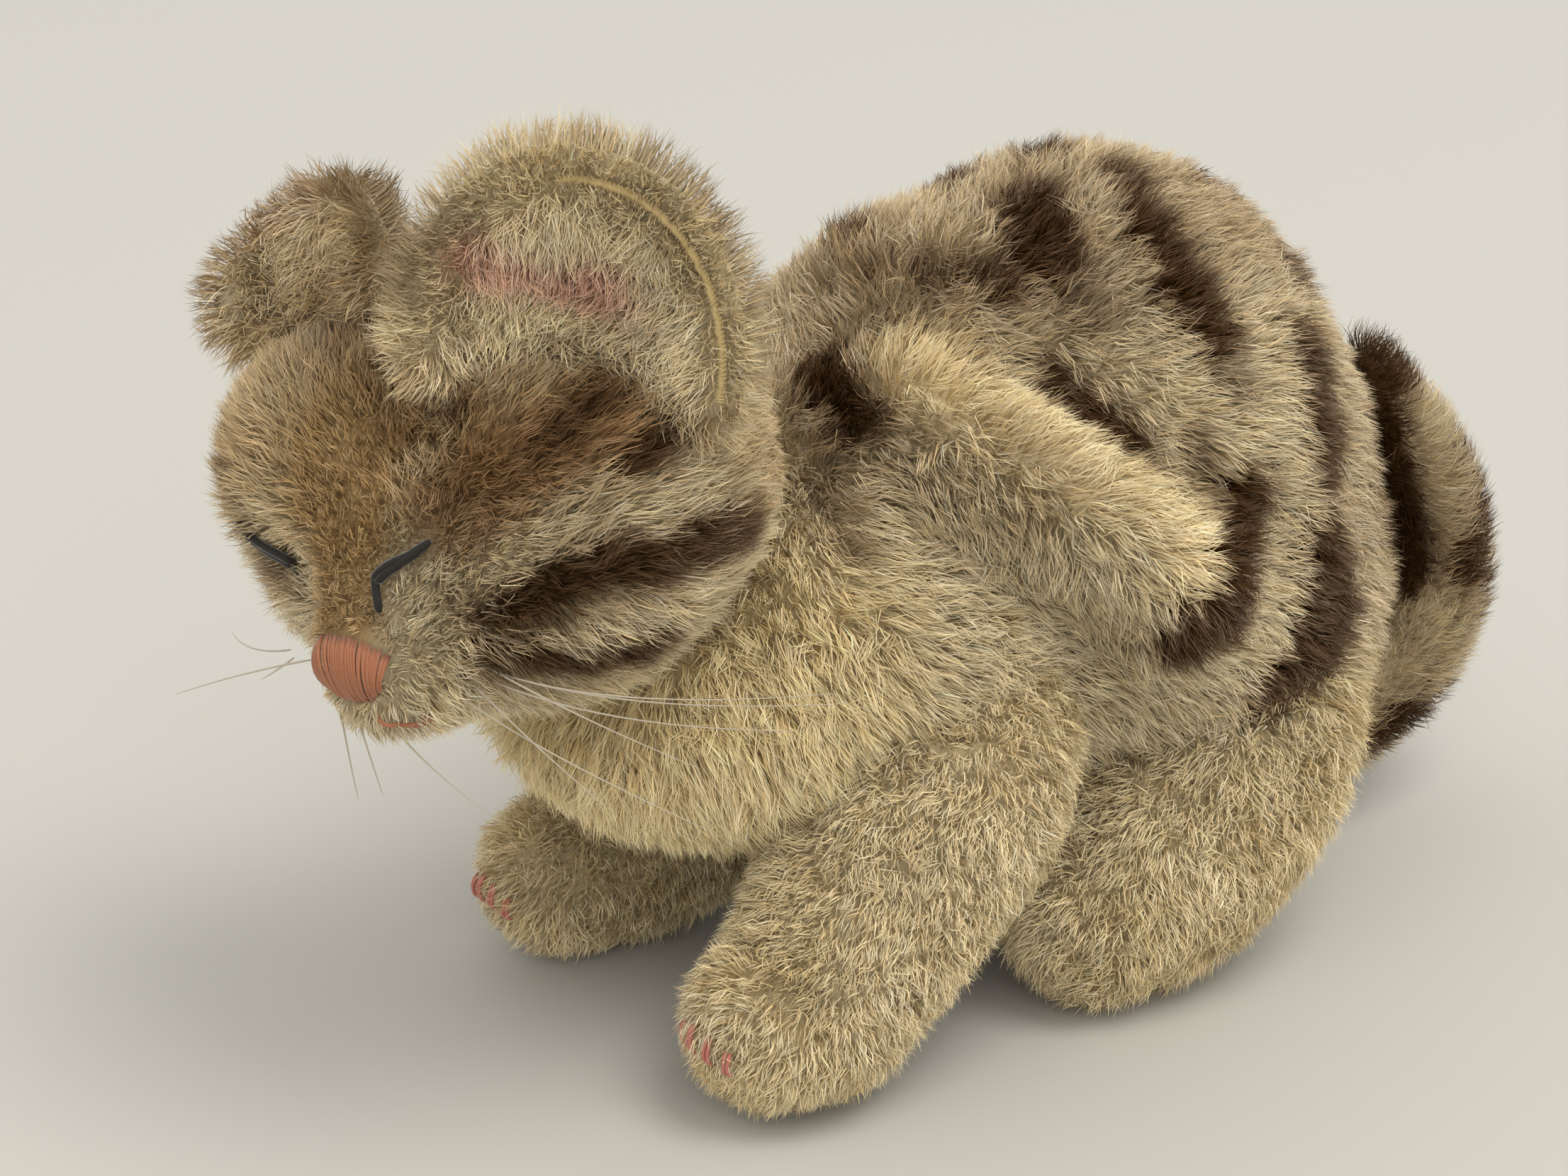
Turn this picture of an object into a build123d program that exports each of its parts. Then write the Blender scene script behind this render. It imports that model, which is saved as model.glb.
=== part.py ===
"""Sleeping plush kitten, sewn from short pile fabric over soft stuffing.

Millimetres, +Z up, standing on Z = 0. The kitten faces -Y and its left side is +X.
Shapes are drawn in a drawing frame and moved to the footprint centre on export.
"""
import math
import os

from build123d import *

os.makedirs("parts", exist_ok=True)

# ---------------------------------------------------------------- sizes
PILE_FABRIC = 2.4          # backing cloth with the dense foot of the pile
SEAM_GAP = 0.02            # between sewn panels of one cover
FILL_GAP = 0.05            # between a cover and its stuffing
JOINT_GAP = 0.6            # between bodies that flex against each other
SWEEP_GAP = 1.4            # round a limb that swings, over its whole travel

FOOTPRINT_X = 3.1          # footprint centre in the drawing frame
FOOTPRINT_Y = 36.55

# torso: sections across Y as (y, centre z, half width, half height)
TORSO_WIDTH = 31.0         # half width at the haunches
TORSO_HEIGHT = 32.0        # half height at the haunches
TORSO_SECTIONS = [
    (-12.0, 44.0, 0.26, 0.20),
    (-7.0, 45.0, 0.52, 0.40),
    (2.0, 47.5, 0.68, 0.55),
    (15.0, 48.5, 0.81, 0.70),
    (28.0, 48.5, 0.88, 0.80),
    (41.0, 52.5, 0.95, 0.92),
    (55.0, 54.5, 1.00, 0.99),
    (68.0, 53.5, 0.97, 0.99),
    (79.0, 49.5, 0.82, 0.88),
    (86.5, 45.0, 0.58, 0.64),
    (90.5, 42.5, 0.26, 0.30),
]
GUSSET_HALF_WIDTH = 9.0    # belly and chin panel either side of the middle

# head: sections from the back of the head to the muzzle as (distance, half width, half height)
HEAD_CENTRE = (1.5, -19.5, 69.5)
HEAD_WIDTH = 29.0
HEAD_HEIGHT = 17.2
HEAD_PITCH = 15.0          # face tipped down
HEAD_YAW = 19.0            # face turned to its left
HEAD_ROLL = -7.0           # left ear higher
HEAD_SECTIONS = [
    (-25.0, 0.26, 0.26, 1.0),
    (-21.0, 0.58, 0.60, 0.8),
    (-13.0, 0.86, 0.88, 0.4),
    (-4.0, 1.00, 1.00, 0.0),
    (6.0, 0.95, 0.96, -0.5),
    (15.0, 0.76, 0.80, -2.0),
    (21.0, 0.52, 0.58, -3.8),
    (25.0, 0.33, 0.46, -5.0),
]
FOREHEAD_HALF_WIDTH = 7.0  # gusset from the nose over the crown
CHIN_HALF_WIDTH = 8.0
HEAD_TURN = 15.0           # degrees each way
NECK_ROOM = 2.0            # height left over and under the turning head

# ears
EAR_HALF_WIDTH = 17.5
EAR_HEIGHT = 28.5
EAR_CORNER = 4.5
EAR_CROWN = 12.0
EAR_CUP = 27.0             # radius of the cupped ear
EAR_BACK_CLOTH = 1.6
EAR_LINING_CLOTH = 1.3
EAR_FOLD = 8.0             # degrees each way

# legs
LEG_SPREAD = 18.0          # middle of the shoulder disc from the middle plane
SHOULDER_Y = 25.0
SHOULDER_Z = 38.0
SHOULDER_RADIUS = 14.0
SHOULDER_HALF_THICK = 9.5
LEFT_PAW = (22.5, 1.5, 9.2)
LEFT_PAW_RADIUS = 9.5
RIGHT_PAW = (19.5, 3.0, 7.4)   # measured outwards from the middle plane, like the left
RIGHT_PAW_RADIUS = 7.6
FORELEG_TOP_RADIUS = 11.5
HIP_SPREAD = 20.5
HIP_Y = 70.0
HIP_Z = 30.5
HIP_RADIUS = 15.5
HIP_HALF_THICK = 10.5
TOES = (23.0, 52.5, 10.0)
TOE_RADIUS = 10.3
HEEL = (21.5, 75.0, 10.2)
HEEL_RADIUS = 10.6
DISC_FLAT = 1.0            # half width of the flat rim of a shoulder or hip disc
LEG_SWING_FORWARD = 12.0   # degrees
LEG_SWING_BACK = 4.0

# tail: arc of its middle line in the plane X = TAIL_X as (y, z)
TAIL_X = 3.0
TAIL_RADIUS = 5.8
TAIL_START = (90.0, 14.0)
TAIL_MIDDLE = (111.5, 31.0)
TAIL_END = (102.0, 54.0)
TAIL_WAG = 12.0            # degrees each way

# threads
NOSE_THREAD = 0.75
NOSE_STITCHES = 11
NOSE_PITCH = 0.85
EYE_THREAD = 0.9
EYE_INNER_ANGLE = 58.0     # degrees from the side of the head towards the top
EYE_OUTER_ANGLE = 50.0
MOUTH_THREAD = 0.7
CLAW_THREAD = 0.7
CLAW_LENGTH = 6.0
CLAW_FAN = (-27.0, -9.0, 9.0, 27.0)   # degrees round the paw
WHISKER_THREAD = 0.3


# ---------------------------------------------------------------- forms
def torso_form(inset):
    """Closed body through upright elliptical sections."""
    last = len(TORSO_SECTIONS) - 1
    with BuildPart() as form:
        for index, (y, z, width, height) in enumerate(TORSO_SECTIONS):
            shift = inset if index == 0 else -inset if index == last else 0.0
            with BuildSketch(Plane(origin=(0, y + shift, z), x_dir=(1, 0, 0), z_dir=(0, -1, 0))):
                Ellipse(width * TORSO_WIDTH - inset, height * TORSO_HEIGHT - inset)
        loft()
    return form.part


def head_form(inset):
    """Head along its own -Y axis, ending in a flat patch for the nose."""
    last = len(HEAD_SECTIONS) - 1
    with BuildPart() as form:
        for index, (ahead, width, height, rise) in enumerate(HEAD_SECTIONS):
            shift = inset if index == 0 else -inset if index == last else 0.0
            with BuildSketch(Plane(origin=(0, -ahead - shift, rise), x_dir=(1, 0, 0), z_dir=(0, -1, 0))):
                Ellipse(width * HEAD_WIDTH - inset, height * HEAD_HEIGHT - inset)
        loft()
    return form.part


def disc_form(radius, half_thick, inset):
    """Rounded disc about the X axis: the top of a limb, the same at every swing."""
    with BuildPart() as form:
        Cylinder(radius - inset, 2 * (half_thick - inset), rotation=(0, 90, 0))
        fillet(form.edges().filter_by(GeomType.CIRCLE), half_thick - DISC_FLAT - inset)
    return form.part


def tapered_form(start, end, start_radius, end_radius, inset):
    """Tapered limb from start to end with a ball at its far end."""
    run = Vector(*end) - Vector(*start)
    with BuildPart() as form:
        with BuildSketch(Plane(origin=start, z_dir=run)):
            Circle(start_radius - inset)
        with BuildSketch(Plane(origin=end, z_dir=run)):
            Circle(end_radius - inset)
        loft(ruled=True)
        with Locations(end):
            Sphere(end_radius - inset)
    return form.part


def foot_form(inset):
    """Long hind foot lying along Y, round at the toes and at the heel."""
    with BuildPart() as form:
        add(tapered_form(HEEL, TOES, HEEL_RADIUS, TOE_RADIUS, inset))
        with Locations(HEEL):
            Sphere(HEEL_RADIUS - inset)
    return form.part


SHOULDER = (LEG_SPREAD, SHOULDER_Y, SHOULDER_Z)
HIP = (HIP_SPREAD, HIP_Y, HIP_Z)
HEAD_PLACE = Location(HEAD_CENTRE, (HEAD_PITCH, HEAD_ROLL, HEAD_YAW))
FLOOR = Plane.XY


def forelimb_form(paw, paw_radius, inset):
    """Foreleg below its shoulder disc."""
    elbow = (LEG_SPREAD + 1.5, SHOULDER_Y - 5.0, SHOULDER_Z - 7.0)
    return tapered_form(elbow, paw, FORELEG_TOP_RADIUS, paw_radius, inset)


def foreleg_form(paw, paw_radius, inset):
    """Foreleg: shoulder disc, tapered limb and paw with a flat sole."""
    disc = disc_form(SHOULDER_RADIUS, SHOULDER_HALF_THICK, inset)
    with BuildPart() as form:
        add(forelimb_form(paw, paw_radius, inset))
        with Locations(SHOULDER):
            add(disc)
        split(bisect_by=FLOOR.offset(inset), keep=Keep.TOP)
    return form.part


def hindleg_form(inset):
    """Left hind leg: hip disc and long foot with a flat sole."""
    disc = disc_form(HIP_RADIUS, HIP_HALF_THICK, inset)
    with BuildPart() as form:
        with Locations(HIP):
            add(disc)
        add(foot_form(inset))
        split(bisect_by=FLOOR.offset(inset), keep=Keep.TOP)
    return form.part


def tail_form(inset):
    """Arched tail with rounded ends."""
    with BuildPart() as form:
        with BuildLine(Plane.YZ.offset(TAIL_X)) as path:
            ThreePointArc(TAIL_START, TAIL_MIDDLE, TAIL_END)
        with BuildSketch(Plane(origin=path.line @ 0, z_dir=path.line % 0)):
            Circle(TAIL_RADIUS - inset)
        sweep()
        with Locations(path.line @ 0, path.line @ 1):
            Sphere(TAIL_RADIUS - inset)
    return form.part


# ---------------------------------------------------------------- rooms between the bodies
torso_outer = torso_form(0.0)
torso_inner = torso_form(PILE_FABRIC)
torso_fill = torso_form(PILE_FABRIC + FILL_GAP)
torso_near = torso_form(-JOINT_GAP)

with BuildPart() as shoulder_room:
    with Locations(SHOULDER):
        add(disc_form(SHOULDER_RADIUS, SHOULDER_HALF_THICK, -JOINT_GAP))

with BuildPart() as hip_room:
    with Locations(HIP):
        add(disc_form(HIP_RADIUS, HIP_HALF_THICK, -JOINT_GAP))

foot_swept = foot_form(-SWEEP_GAP)

with BuildPart() as neck_room:
    Cylinder(HEAD_WIDTH + JOINT_GAP, 2 * (HEAD_HEIGHT + NECK_ROOM))
    fillet(neck_room.edges().filter_by(GeomType.CIRCLE), HEAD_HEIGHT + NECK_ROOM - DISC_FLAT)

SHOULDER_AXIS = Axis(SHOULDER, (1, 0, 0))
HIP_AXIS = Axis(HIP, (1, 0, 0))
left_forelimb_swept = forelimb_form(LEFT_PAW, LEFT_PAW_RADIUS, -SWEEP_GAP)
right_forelimb_swept = forelimb_form(RIGHT_PAW, RIGHT_PAW_RADIUS, -SWEEP_GAP)
hind_rooms = [
    shoulder_room.part,
    hip_room.part,
    foot_swept,
    foot_swept.rotate(HIP_AXIS, -LEG_SWING_FORWARD),
    foot_swept.rotate(HIP_AXIS, -LEG_SWING_FORWARD / 2),
    foot_swept.rotate(HIP_AXIS, LEG_SWING_BACK),
]
left_rooms = hind_rooms + [
    left_forelimb_swept,
    left_forelimb_swept.rotate(SHOULDER_AXIS, -LEG_SWING_FORWARD),
    left_forelimb_swept.rotate(SHOULDER_AXIS, -LEG_SWING_FORWARD / 2),
    left_forelimb_swept.rotate(SHOULDER_AXIS, LEG_SWING_BACK),
]
right_rooms = hind_rooms + [
    right_forelimb_swept,
    right_forelimb_swept.rotate(SHOULDER_AXIS, -LEG_SWING_FORWARD),
    right_forelimb_swept.rotate(SHOULDER_AXIS, LEG_SWING_BACK),
]
limb_rooms = left_rooms + [room.mirror(Plane.YZ) for room in right_rooms]

# ---------------------------------------------------------------- torso
with BuildPart() as belly_wedge:
    with Locations((0, 42.0, 20.0)):
        Box(2 * GUSSET_HALF_WIDTH, 150.0, 40.0)

with BuildPart() as torso_shell:
    add(torso_outer)
    add(torso_inner, mode=Mode.SUBTRACT)
    with Locations(HEAD_CENTRE):
        add(neck_room.part, mode=Mode.SUBTRACT)
    for room in limb_rooms:
        add(room, mode=Mode.SUBTRACT)

with BuildPart() as torso_cover_left:
    add(torso_shell.part)
    add(belly_wedge.part, mode=Mode.SUBTRACT)
    split(bisect_by=Plane.YZ.offset(SEAM_GAP / 2), keep=Keep.TOP)

with BuildPart() as torso_cover_right:
    add(torso_shell.part)
    add(belly_wedge.part, mode=Mode.SUBTRACT)
    split(bisect_by=Plane.YZ.offset(-SEAM_GAP / 2), keep=Keep.BOTTOM)

with BuildPart() as belly_gusset:
    add(torso_shell.part)
    with Locations((0, 42.0, 20.0 - SEAM_GAP)):
        Box(2 * (GUSSET_HALF_WIDTH - SEAM_GAP), 150.0, 40.0, mode=Mode.INTERSECT)

with BuildPart() as torso_stuffing:
    add(torso_fill)
    with Locations(HEAD_CENTRE):
        add(neck_room.part, mode=Mode.SUBTRACT)
    for room in limb_rooms:
        add(room, mode=Mode.SUBTRACT)

# ---------------------------------------------------------------- head
head_outer = head_form(0.0)
head_inner = head_form(PILE_FABRIC)
head_fill = head_form(PILE_FABRIC + FILL_GAP)

with BuildPart() as head_shell_local:
    add(head_outer)
    add(head_inner, mode=Mode.SUBTRACT)

NOSE_FACE = -HEAD_SECTIONS[-1][0]
NOSE_RISE = HEAD_SECTIONS[-1][3]

# eye lines lie on the skin between two neighbouring head sections
EYE_AHEAD = HEAD_SECTIONS[6]
EYE_BEHIND = HEAD_SECTIONS[5]


def skin_point(section, angle):
    """Point on the head surface at one section, angle from the side towards the top."""
    ahead, width, height, rise = section
    across = width * HEAD_WIDTH * math.cos(math.radians(angle))
    up = rise + height * HEAD_HEIGHT * math.sin(math.radians(angle))
    return Vector(across, -ahead, up)


def rod_between(start, end, diameter):
    """Straight length of thread."""
    run = end - start
    with BuildPart() as rod:
        with BuildSketch(Plane(origin=start, z_dir=run)):
            Circle(diameter / 2)
        extrude(amount=run.length)
    return rod.part


eye_inner_end = skin_point(EYE_AHEAD, EYE_INNER_ANGLE)
eye_outer_end = skin_point(EYE_BEHIND, EYE_OUTER_ANGLE)
eye_left_local = rod_between(eye_inner_end, eye_outer_end, EYE_THREAD)

with BuildPart() as head_frame_pieces:
    add(head_shell_local.part)
    add(eye_left_local, mode=Mode.SUBTRACT)
    add(eye_left_local.mirror(Plane.YZ), mode=Mode.SUBTRACT)

with BuildPart() as forehead_block:
    with Locations((0, 0, 60.0 - 1.0)):
        Box(2 * FOREHEAD_HALF_WIDTH, 120.0, 120.0)

with BuildPart() as chin_block:
    with Locations((0, 0, -60.0 - 2.0)):
        Box(2 * CHIN_HALF_WIDTH, 120.0, 120.0)

with BuildPart() as head_gusset_local:
    add(head_frame_pieces.part)
    with Locations((0, 0, 60.0 - 1.0)):
        Box(2 * (FOREHEAD_HALF_WIDTH - SEAM_GAP), 120.0, 120.0, mode=Mode.INTERSECT)

with BuildPart() as chin_gusset_local:
    add(head_frame_pieces.part)
    with Locations((0, 0, -60.0 - 2.0)):
        Box(2 * (CHIN_HALF_WIDTH - SEAM_GAP), 120.0, 120.0, mode=Mode.INTERSECT)

with BuildPart() as head_side_local:
    add(head_frame_pieces.part)
    add(forehead_block.part, mode=Mode.SUBTRACT)
    add(chin_block.part, mode=Mode.SUBTRACT)
    split(bisect_by=Plane.YZ.offset(SEAM_GAP / 2), keep=Keep.TOP)

with BuildPart() as head_cover_left:
    with Locations(HEAD_PLACE):
        add(head_side_local.part)

with BuildPart() as head_cover_right:
    with Locations(HEAD_PLACE):
        add(head_side_local.part.mirror(Plane.YZ))

with BuildPart() as head_gusset:
    with Locations(HEAD_PLACE):
        add(head_gusset_local.part)

with BuildPart() as chin_gusset:
    with Locations(HEAD_PLACE):
        add(chin_gusset_local.part)

with BuildPart() as head_stuffing:
    with Locations(HEAD_PLACE):
        add(head_fill)

with BuildPart() as left_eye_stitching:
    with Locations(HEAD_PLACE):
        add(rod_between(eye_inner_end, eye_outer_end, EYE_THREAD - 2 * SEAM_GAP))

with BuildPart() as right_eye_stitching:
    with Locations(HEAD_PLACE):
        add(rod_between(eye_inner_end, eye_outer_end, EYE_THREAD - 2 * SEAM_GAP).mirror(Plane.YZ))

# nose: upright stitches side by side, the outer ones shorter
with BuildPart() as nose_local:
    for index in range(NOSE_STITCHES):
        across = (index - (NOSE_STITCHES - 1) / 2) * NOSE_PITCH
        length = 7.4 - 0.62 * abs(across)
        with Locations((across, NOSE_FACE - NOSE_THREAD / 2 - SEAM_GAP, NOSE_RISE + 3.4)):
            Cylinder(NOSE_THREAD / 2, length)

with BuildPart() as nose_stitching:
    with Locations(HEAD_PLACE):
        add(nose_local.part)

# mouth: one short upright stitch over two slanting ones
with BuildPart() as mouth_local:
    with Locations((0, NOSE_FACE - MOUTH_THREAD / 2 - SEAM_GAP, NOSE_RISE - 2.2)):
        Cylinder(MOUTH_THREAD / 2, 2.6)
    with Locations(
        Location((2.6, NOSE_FACE - MOUTH_THREAD / 2 - SEAM_GAP, NOSE_RISE - 4.8), (0, 65, 0)),
        Location((-2.6, NOSE_FACE - MOUTH_THREAD / 2 - SEAM_GAP, NOSE_RISE - 4.8), (0, -65, 0)),
    ):
        Cylinder(MOUTH_THREAD / 2, 4.4)

with BuildPart() as mouth_stitching:
    with Locations(HEAD_PLACE):
        add(mouth_local.part)


# whiskers: root, middle and tip in the head frame
def whisker_root(section, angle):
    """Root just off the skin of the cheek."""
    root = skin_point(section, angle)
    return root + Vector(0.4, -0.4, 0)


LEFT_WHISKERS = [
    (skin_point(HEAD_SECTIONS[6], -12.0), (14.0, 9.0, -6.0), (31.0, 22.0, -9.0)),
    (skin_point(HEAD_SECTIONS[6], -20.0), (13.0, 9.0, -9.0), (28.0, 22.0, -15.0)),
    (skin_point(HEAD_SECTIONS[6], -30.0), (10.0, 6.0, -10.0), (20.0, 14.0, -22.0)),
]


def whisker(root, middle, tip):
    """Fine curved filament."""
    start = root + Vector(0.5, -0.2, -0.1)
    with BuildPart() as hair:
        with BuildLine() as path:
            ThreePointArc(start, start + Vector(*middle), start + Vector(*tip))
        with BuildSketch(Plane(origin=path.line @ 0, z_dir=path.line % 0)):
            Circle(WHISKER_THREAD / 2)
        sweep()
    return hair.part


with BuildPart() as whiskers_local:
    for root, middle, tip in LEFT_WHISKERS:
        add(whisker(root, middle, tip))

with BuildPart() as left_whiskers:
    with Locations(HEAD_PLACE):
        add(whiskers_local.part)

with BuildPart() as right_whiskers:
    with Locations(HEAD_PLACE):
        add(whiskers_local.part.mirror(Plane.YZ))

# ---------------------------------------------------------------- ears
head_near = head_form(-JOINT_GAP)

with BuildPart() as ear_outline:
    with BuildSketch(Plane.XZ):
        with Locations((EAR_CORNER - EAR_HALF_WIDTH, EAR_CORNER), (EAR_HALF_WIDTH - EAR_CORNER, EAR_CORNER)):
            Circle(EAR_CORNER)
        with Locations((0, EAR_HEIGHT - EAR_CROWN)):
            Circle(EAR_CROWN)
        make_hull()
    extrude(amount=40.0, both=True)


def ear_layer(outer_radius, thickness):
    """Cupped layer of an ear, hollow side towards -Y, base middle at the origin."""
    with BuildPart() as layer:
        with Locations((0, -EAR_CUP, EAR_HEIGHT / 2)):
            Sphere(outer_radius)
            Sphere(outer_radius - thickness, mode=Mode.SUBTRACT)
        split(bisect_by=Plane.XZ.offset(EAR_CUP - 6.0), keep=Keep.BOTTOM)
        add(ear_outline.part, mode=Mode.INTERSECT)
    return layer.part


ear_back_form = ear_layer(EAR_CUP, EAR_BACK_CLOTH)
ear_lining_form = ear_layer(EAR_CUP - EAR_BACK_CLOTH - SEAM_GAP, EAR_LINING_CLOTH)

# ear base middle, direction of its base towards the outside, and its upright, in the head frame
EAR_LEFT_PLACE = Plane(origin=(16.8, 3.5, 12.6), x_dir=(0.69, 0.39, -0.60), z_dir=(0.50, 0.19, 0.84)).location
EAR_RIGHT_PLACE = Plane(origin=(-12.8, 4.0, 13.6), x_dir=(0.92, 0.08, 0.38), z_dir=(-0.47, 0.17, 0.84)).location


def ear_piece(form, place):
    """One ear layer trimmed clear of the head at each fold."""
    head_seen = head_near.moved(place.inverse())
    with BuildPart() as piece:
        add(form)
        add(head_seen, mode=Mode.SUBTRACT)
        add(head_seen.rotate(Axis.X, EAR_FOLD), mode=Mode.SUBTRACT)
        add(head_seen.rotate(Axis.X, -EAR_FOLD), mode=Mode.SUBTRACT)
    return piece.part


EAR_LEFT = HEAD_PLACE * EAR_LEFT_PLACE
EAR_RIGHT = HEAD_PLACE * EAR_RIGHT_PLACE

with BuildPart() as left_ear_back:
    with Locations(EAR_LEFT):
        add(ear_piece(ear_back_form, EAR_LEFT_PLACE))

with BuildPart() as left_ear_lining:
    with Locations(EAR_LEFT):
        add(ear_piece(ear_lining_form, EAR_LEFT_PLACE))

with BuildPart() as right_ear_back:
    with Locations(EAR_RIGHT):
        add(ear_piece(ear_back_form, EAR_RIGHT_PLACE))

with BuildPart() as right_ear_lining:
    with Locations(EAR_RIGHT):
        add(ear_piece(ear_lining_form, EAR_RIGHT_PLACE))

# ---------------------------------------------------------------- legs
with BuildPart() as left_foreleg_shell:
    add(foreleg_form(LEFT_PAW, LEFT_PAW_RADIUS, 0.0))
    add(foreleg_form(LEFT_PAW, LEFT_PAW_RADIUS, PILE_FABRIC), mode=Mode.SUBTRACT)

with BuildPart() as right_foreleg_shell:
    add(foreleg_form(RIGHT_PAW, RIGHT_PAW_RADIUS, 0.0))
    add(foreleg_form(RIGHT_PAW, RIGHT_PAW_RADIUS, PILE_FABRIC), mode=Mode.SUBTRACT)

with BuildPart() as hindleg_shell:
    add(hindleg_form(0.0))
    add(hindleg_form(PILE_FABRIC), mode=Mode.SUBTRACT)

LEFT_FORELEG_SEAM = Plane.YZ.offset((LEG_SPREAD + LEFT_PAW[0]) / 2)
RIGHT_FORELEG_SEAM = Plane.YZ.offset((LEG_SPREAD + RIGHT_PAW[0]) / 2)
HINDLEG_SEAM = Plane.YZ.offset((HIP_SPREAD + TOES[0]) / 2)

with BuildPart() as left_front_leg_outer:
    add(left_foreleg_shell.part)
    split(bisect_by=LEFT_FORELEG_SEAM.offset(SEAM_GAP / 2), keep=Keep.TOP)

with BuildPart() as left_front_leg_inner:
    add(left_foreleg_shell.part)
    split(bisect_by=LEFT_FORELEG_SEAM.offset(-SEAM_GAP / 2), keep=Keep.BOTTOM)

with BuildPart() as left_front_leg_stuffing:
    add(foreleg_form(LEFT_PAW, LEFT_PAW_RADIUS, PILE_FABRIC + FILL_GAP))

# right foreleg, drawn on the left side and mirrored below
with BuildPart() as right_front_leg_outer:
    add(right_foreleg_shell.part)
    split(bisect_by=RIGHT_FORELEG_SEAM.offset(SEAM_GAP / 2), keep=Keep.TOP)

with BuildPart() as right_front_leg_inner:
    add(right_foreleg_shell.part)
    split(bisect_by=RIGHT_FORELEG_SEAM.offset(-SEAM_GAP / 2), keep=Keep.BOTTOM)

with BuildPart() as right_front_leg_stuffing:
    add(foreleg_form(RIGHT_PAW, RIGHT_PAW_RADIUS, PILE_FABRIC + FILL_GAP))

with BuildPart() as left_hind_leg_outer:
    add(hindleg_shell.part)
    split(bisect_by=HINDLEG_SEAM.offset(SEAM_GAP / 2), keep=Keep.TOP)

with BuildPart() as left_hind_leg_inner:
    add(hindleg_shell.part)
    split(bisect_by=HINDLEG_SEAM.offset(-SEAM_GAP / 2), keep=Keep.BOTTOM)

with BuildPart() as left_hind_leg_stuffing:
    add(hindleg_form(PILE_FABRIC + FILL_GAP))


def claw_places(paw, paw_radius):
    """Four upright stitches fanned over the front of a paw."""
    reach = paw_radius + CLAW_THREAD
    places = []
    for turn in CLAW_FAN:
        lean = math.radians(turn)
        spot = (paw[0] + reach * math.sin(lean), paw[1] - reach * math.cos(lean), paw[2])
        places.append(Location(spot))
    return places


with BuildPart() as left_claw_stitching:
    with Locations(claw_places(LEFT_PAW, LEFT_PAW_RADIUS)):
        Cylinder(CLAW_THREAD / 2, CLAW_LENGTH)

with BuildPart() as right_claw_stitching:
    with Locations(claw_places(RIGHT_PAW, RIGHT_PAW_RADIUS)):
        Cylinder(CLAW_THREAD / 2, CLAW_LENGTH)

# ---------------------------------------------------------------- tail
TAIL_AXIS = Axis((TAIL_X, TAIL_START[0], 0), (0, 0, 1))
tail_rooms = [torso_near, torso_near.rotate(TAIL_AXIS, TAIL_WAG), torso_near.rotate(TAIL_AXIS, -TAIL_WAG)]

with BuildPart() as tail_cover:
    add(tail_form(0.0))
    add(tail_form(PILE_FABRIC), mode=Mode.SUBTRACT)
    for room in tail_rooms:
        add(room, mode=Mode.SUBTRACT)

with BuildPart() as tail_stuffing:
    add(tail_form(PILE_FABRIC + FILL_GAP))
    for room in tail_rooms:
        add(room, mode=Mode.SUBTRACT)

# ---------------------------------------------------------------- pieces
pieces = {
    "torso_cover_left": torso_cover_left.part,
    "torso_cover_right": torso_cover_right.part,
    "belly_gusset": belly_gusset.part,
    "torso_stuffing": torso_stuffing.part,
    "head_cover_left": head_cover_left.part,
    "head_cover_right": head_cover_right.part,
    "head_gusset": head_gusset.part,
    "chin_gusset": chin_gusset.part,
    "head_stuffing": head_stuffing.part,
    "left_eye_stitching": left_eye_stitching.part,
    "right_eye_stitching": right_eye_stitching.part,
    "nose_stitching": nose_stitching.part,
    "mouth_stitching": mouth_stitching.part,
    "left_whiskers": left_whiskers.part,
    "right_whiskers": right_whiskers.part,
    "left_ear_back": left_ear_back.part,
    "left_ear_lining": left_ear_lining.part,
    "right_ear_back": right_ear_back.part,
    "right_ear_lining": right_ear_lining.part,
    "left_front_leg_outer": left_front_leg_outer.part,
    "left_front_leg_inner": left_front_leg_inner.part,
    "left_front_leg_stuffing": left_front_leg_stuffing.part,
    "left_claw_stitching": left_claw_stitching.part,
    "right_front_leg_outer": right_front_leg_outer.part.mirror(Plane.YZ),
    "right_front_leg_inner": right_front_leg_inner.part.mirror(Plane.YZ),
    "right_front_leg_stuffing": right_front_leg_stuffing.part.mirror(Plane.YZ),
    "right_claw_stitching": right_claw_stitching.part.mirror(Plane.YZ),
    "left_hind_leg_outer": left_hind_leg_outer.part,
    "left_hind_leg_inner": left_hind_leg_inner.part,
    "left_hind_leg_stuffing": left_hind_leg_stuffing.part,
    "right_hind_leg_outer": left_hind_leg_outer.part.mirror(Plane.YZ),
    "right_hind_leg_inner": left_hind_leg_inner.part.mirror(Plane.YZ),
    "right_hind_leg_stuffing": left_hind_leg_stuffing.part.mirror(Plane.YZ),
    "tail_cover": tail_cover.part,
    "tail_stuffing": tail_stuffing.part,
}
to_footprint = Location((-FOOTPRINT_X, -FOOTPRINT_Y, 0))
for name, piece in pieces.items():
    placed = piece.moved(to_footprint)
    placed.label = name
    box = placed.bounding_box()
    print(f"{name:26s} solids {len(placed.solids())} volume {placed.volume:9.1f}"
          f" x {box.min.X:6.1f} {box.max.X:6.1f} y {box.min.Y:6.1f} {box.max.Y:6.1f}"
          f" z {box.min.Z:6.1f} {box.max.Z:6.1f}")
    export_step(placed, f"parts/{name}.step")
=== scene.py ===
"""Looks of the sleeping plush kitten: skins, mohair pile, stitching, whiskers, floor, light, camera.

Shapes are worked out in millimetres in a drawing frame and moved to the row frame in metres.
"""
import math

import bpy
import numpy as np
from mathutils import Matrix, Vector, bvhtree, kdtree


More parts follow.
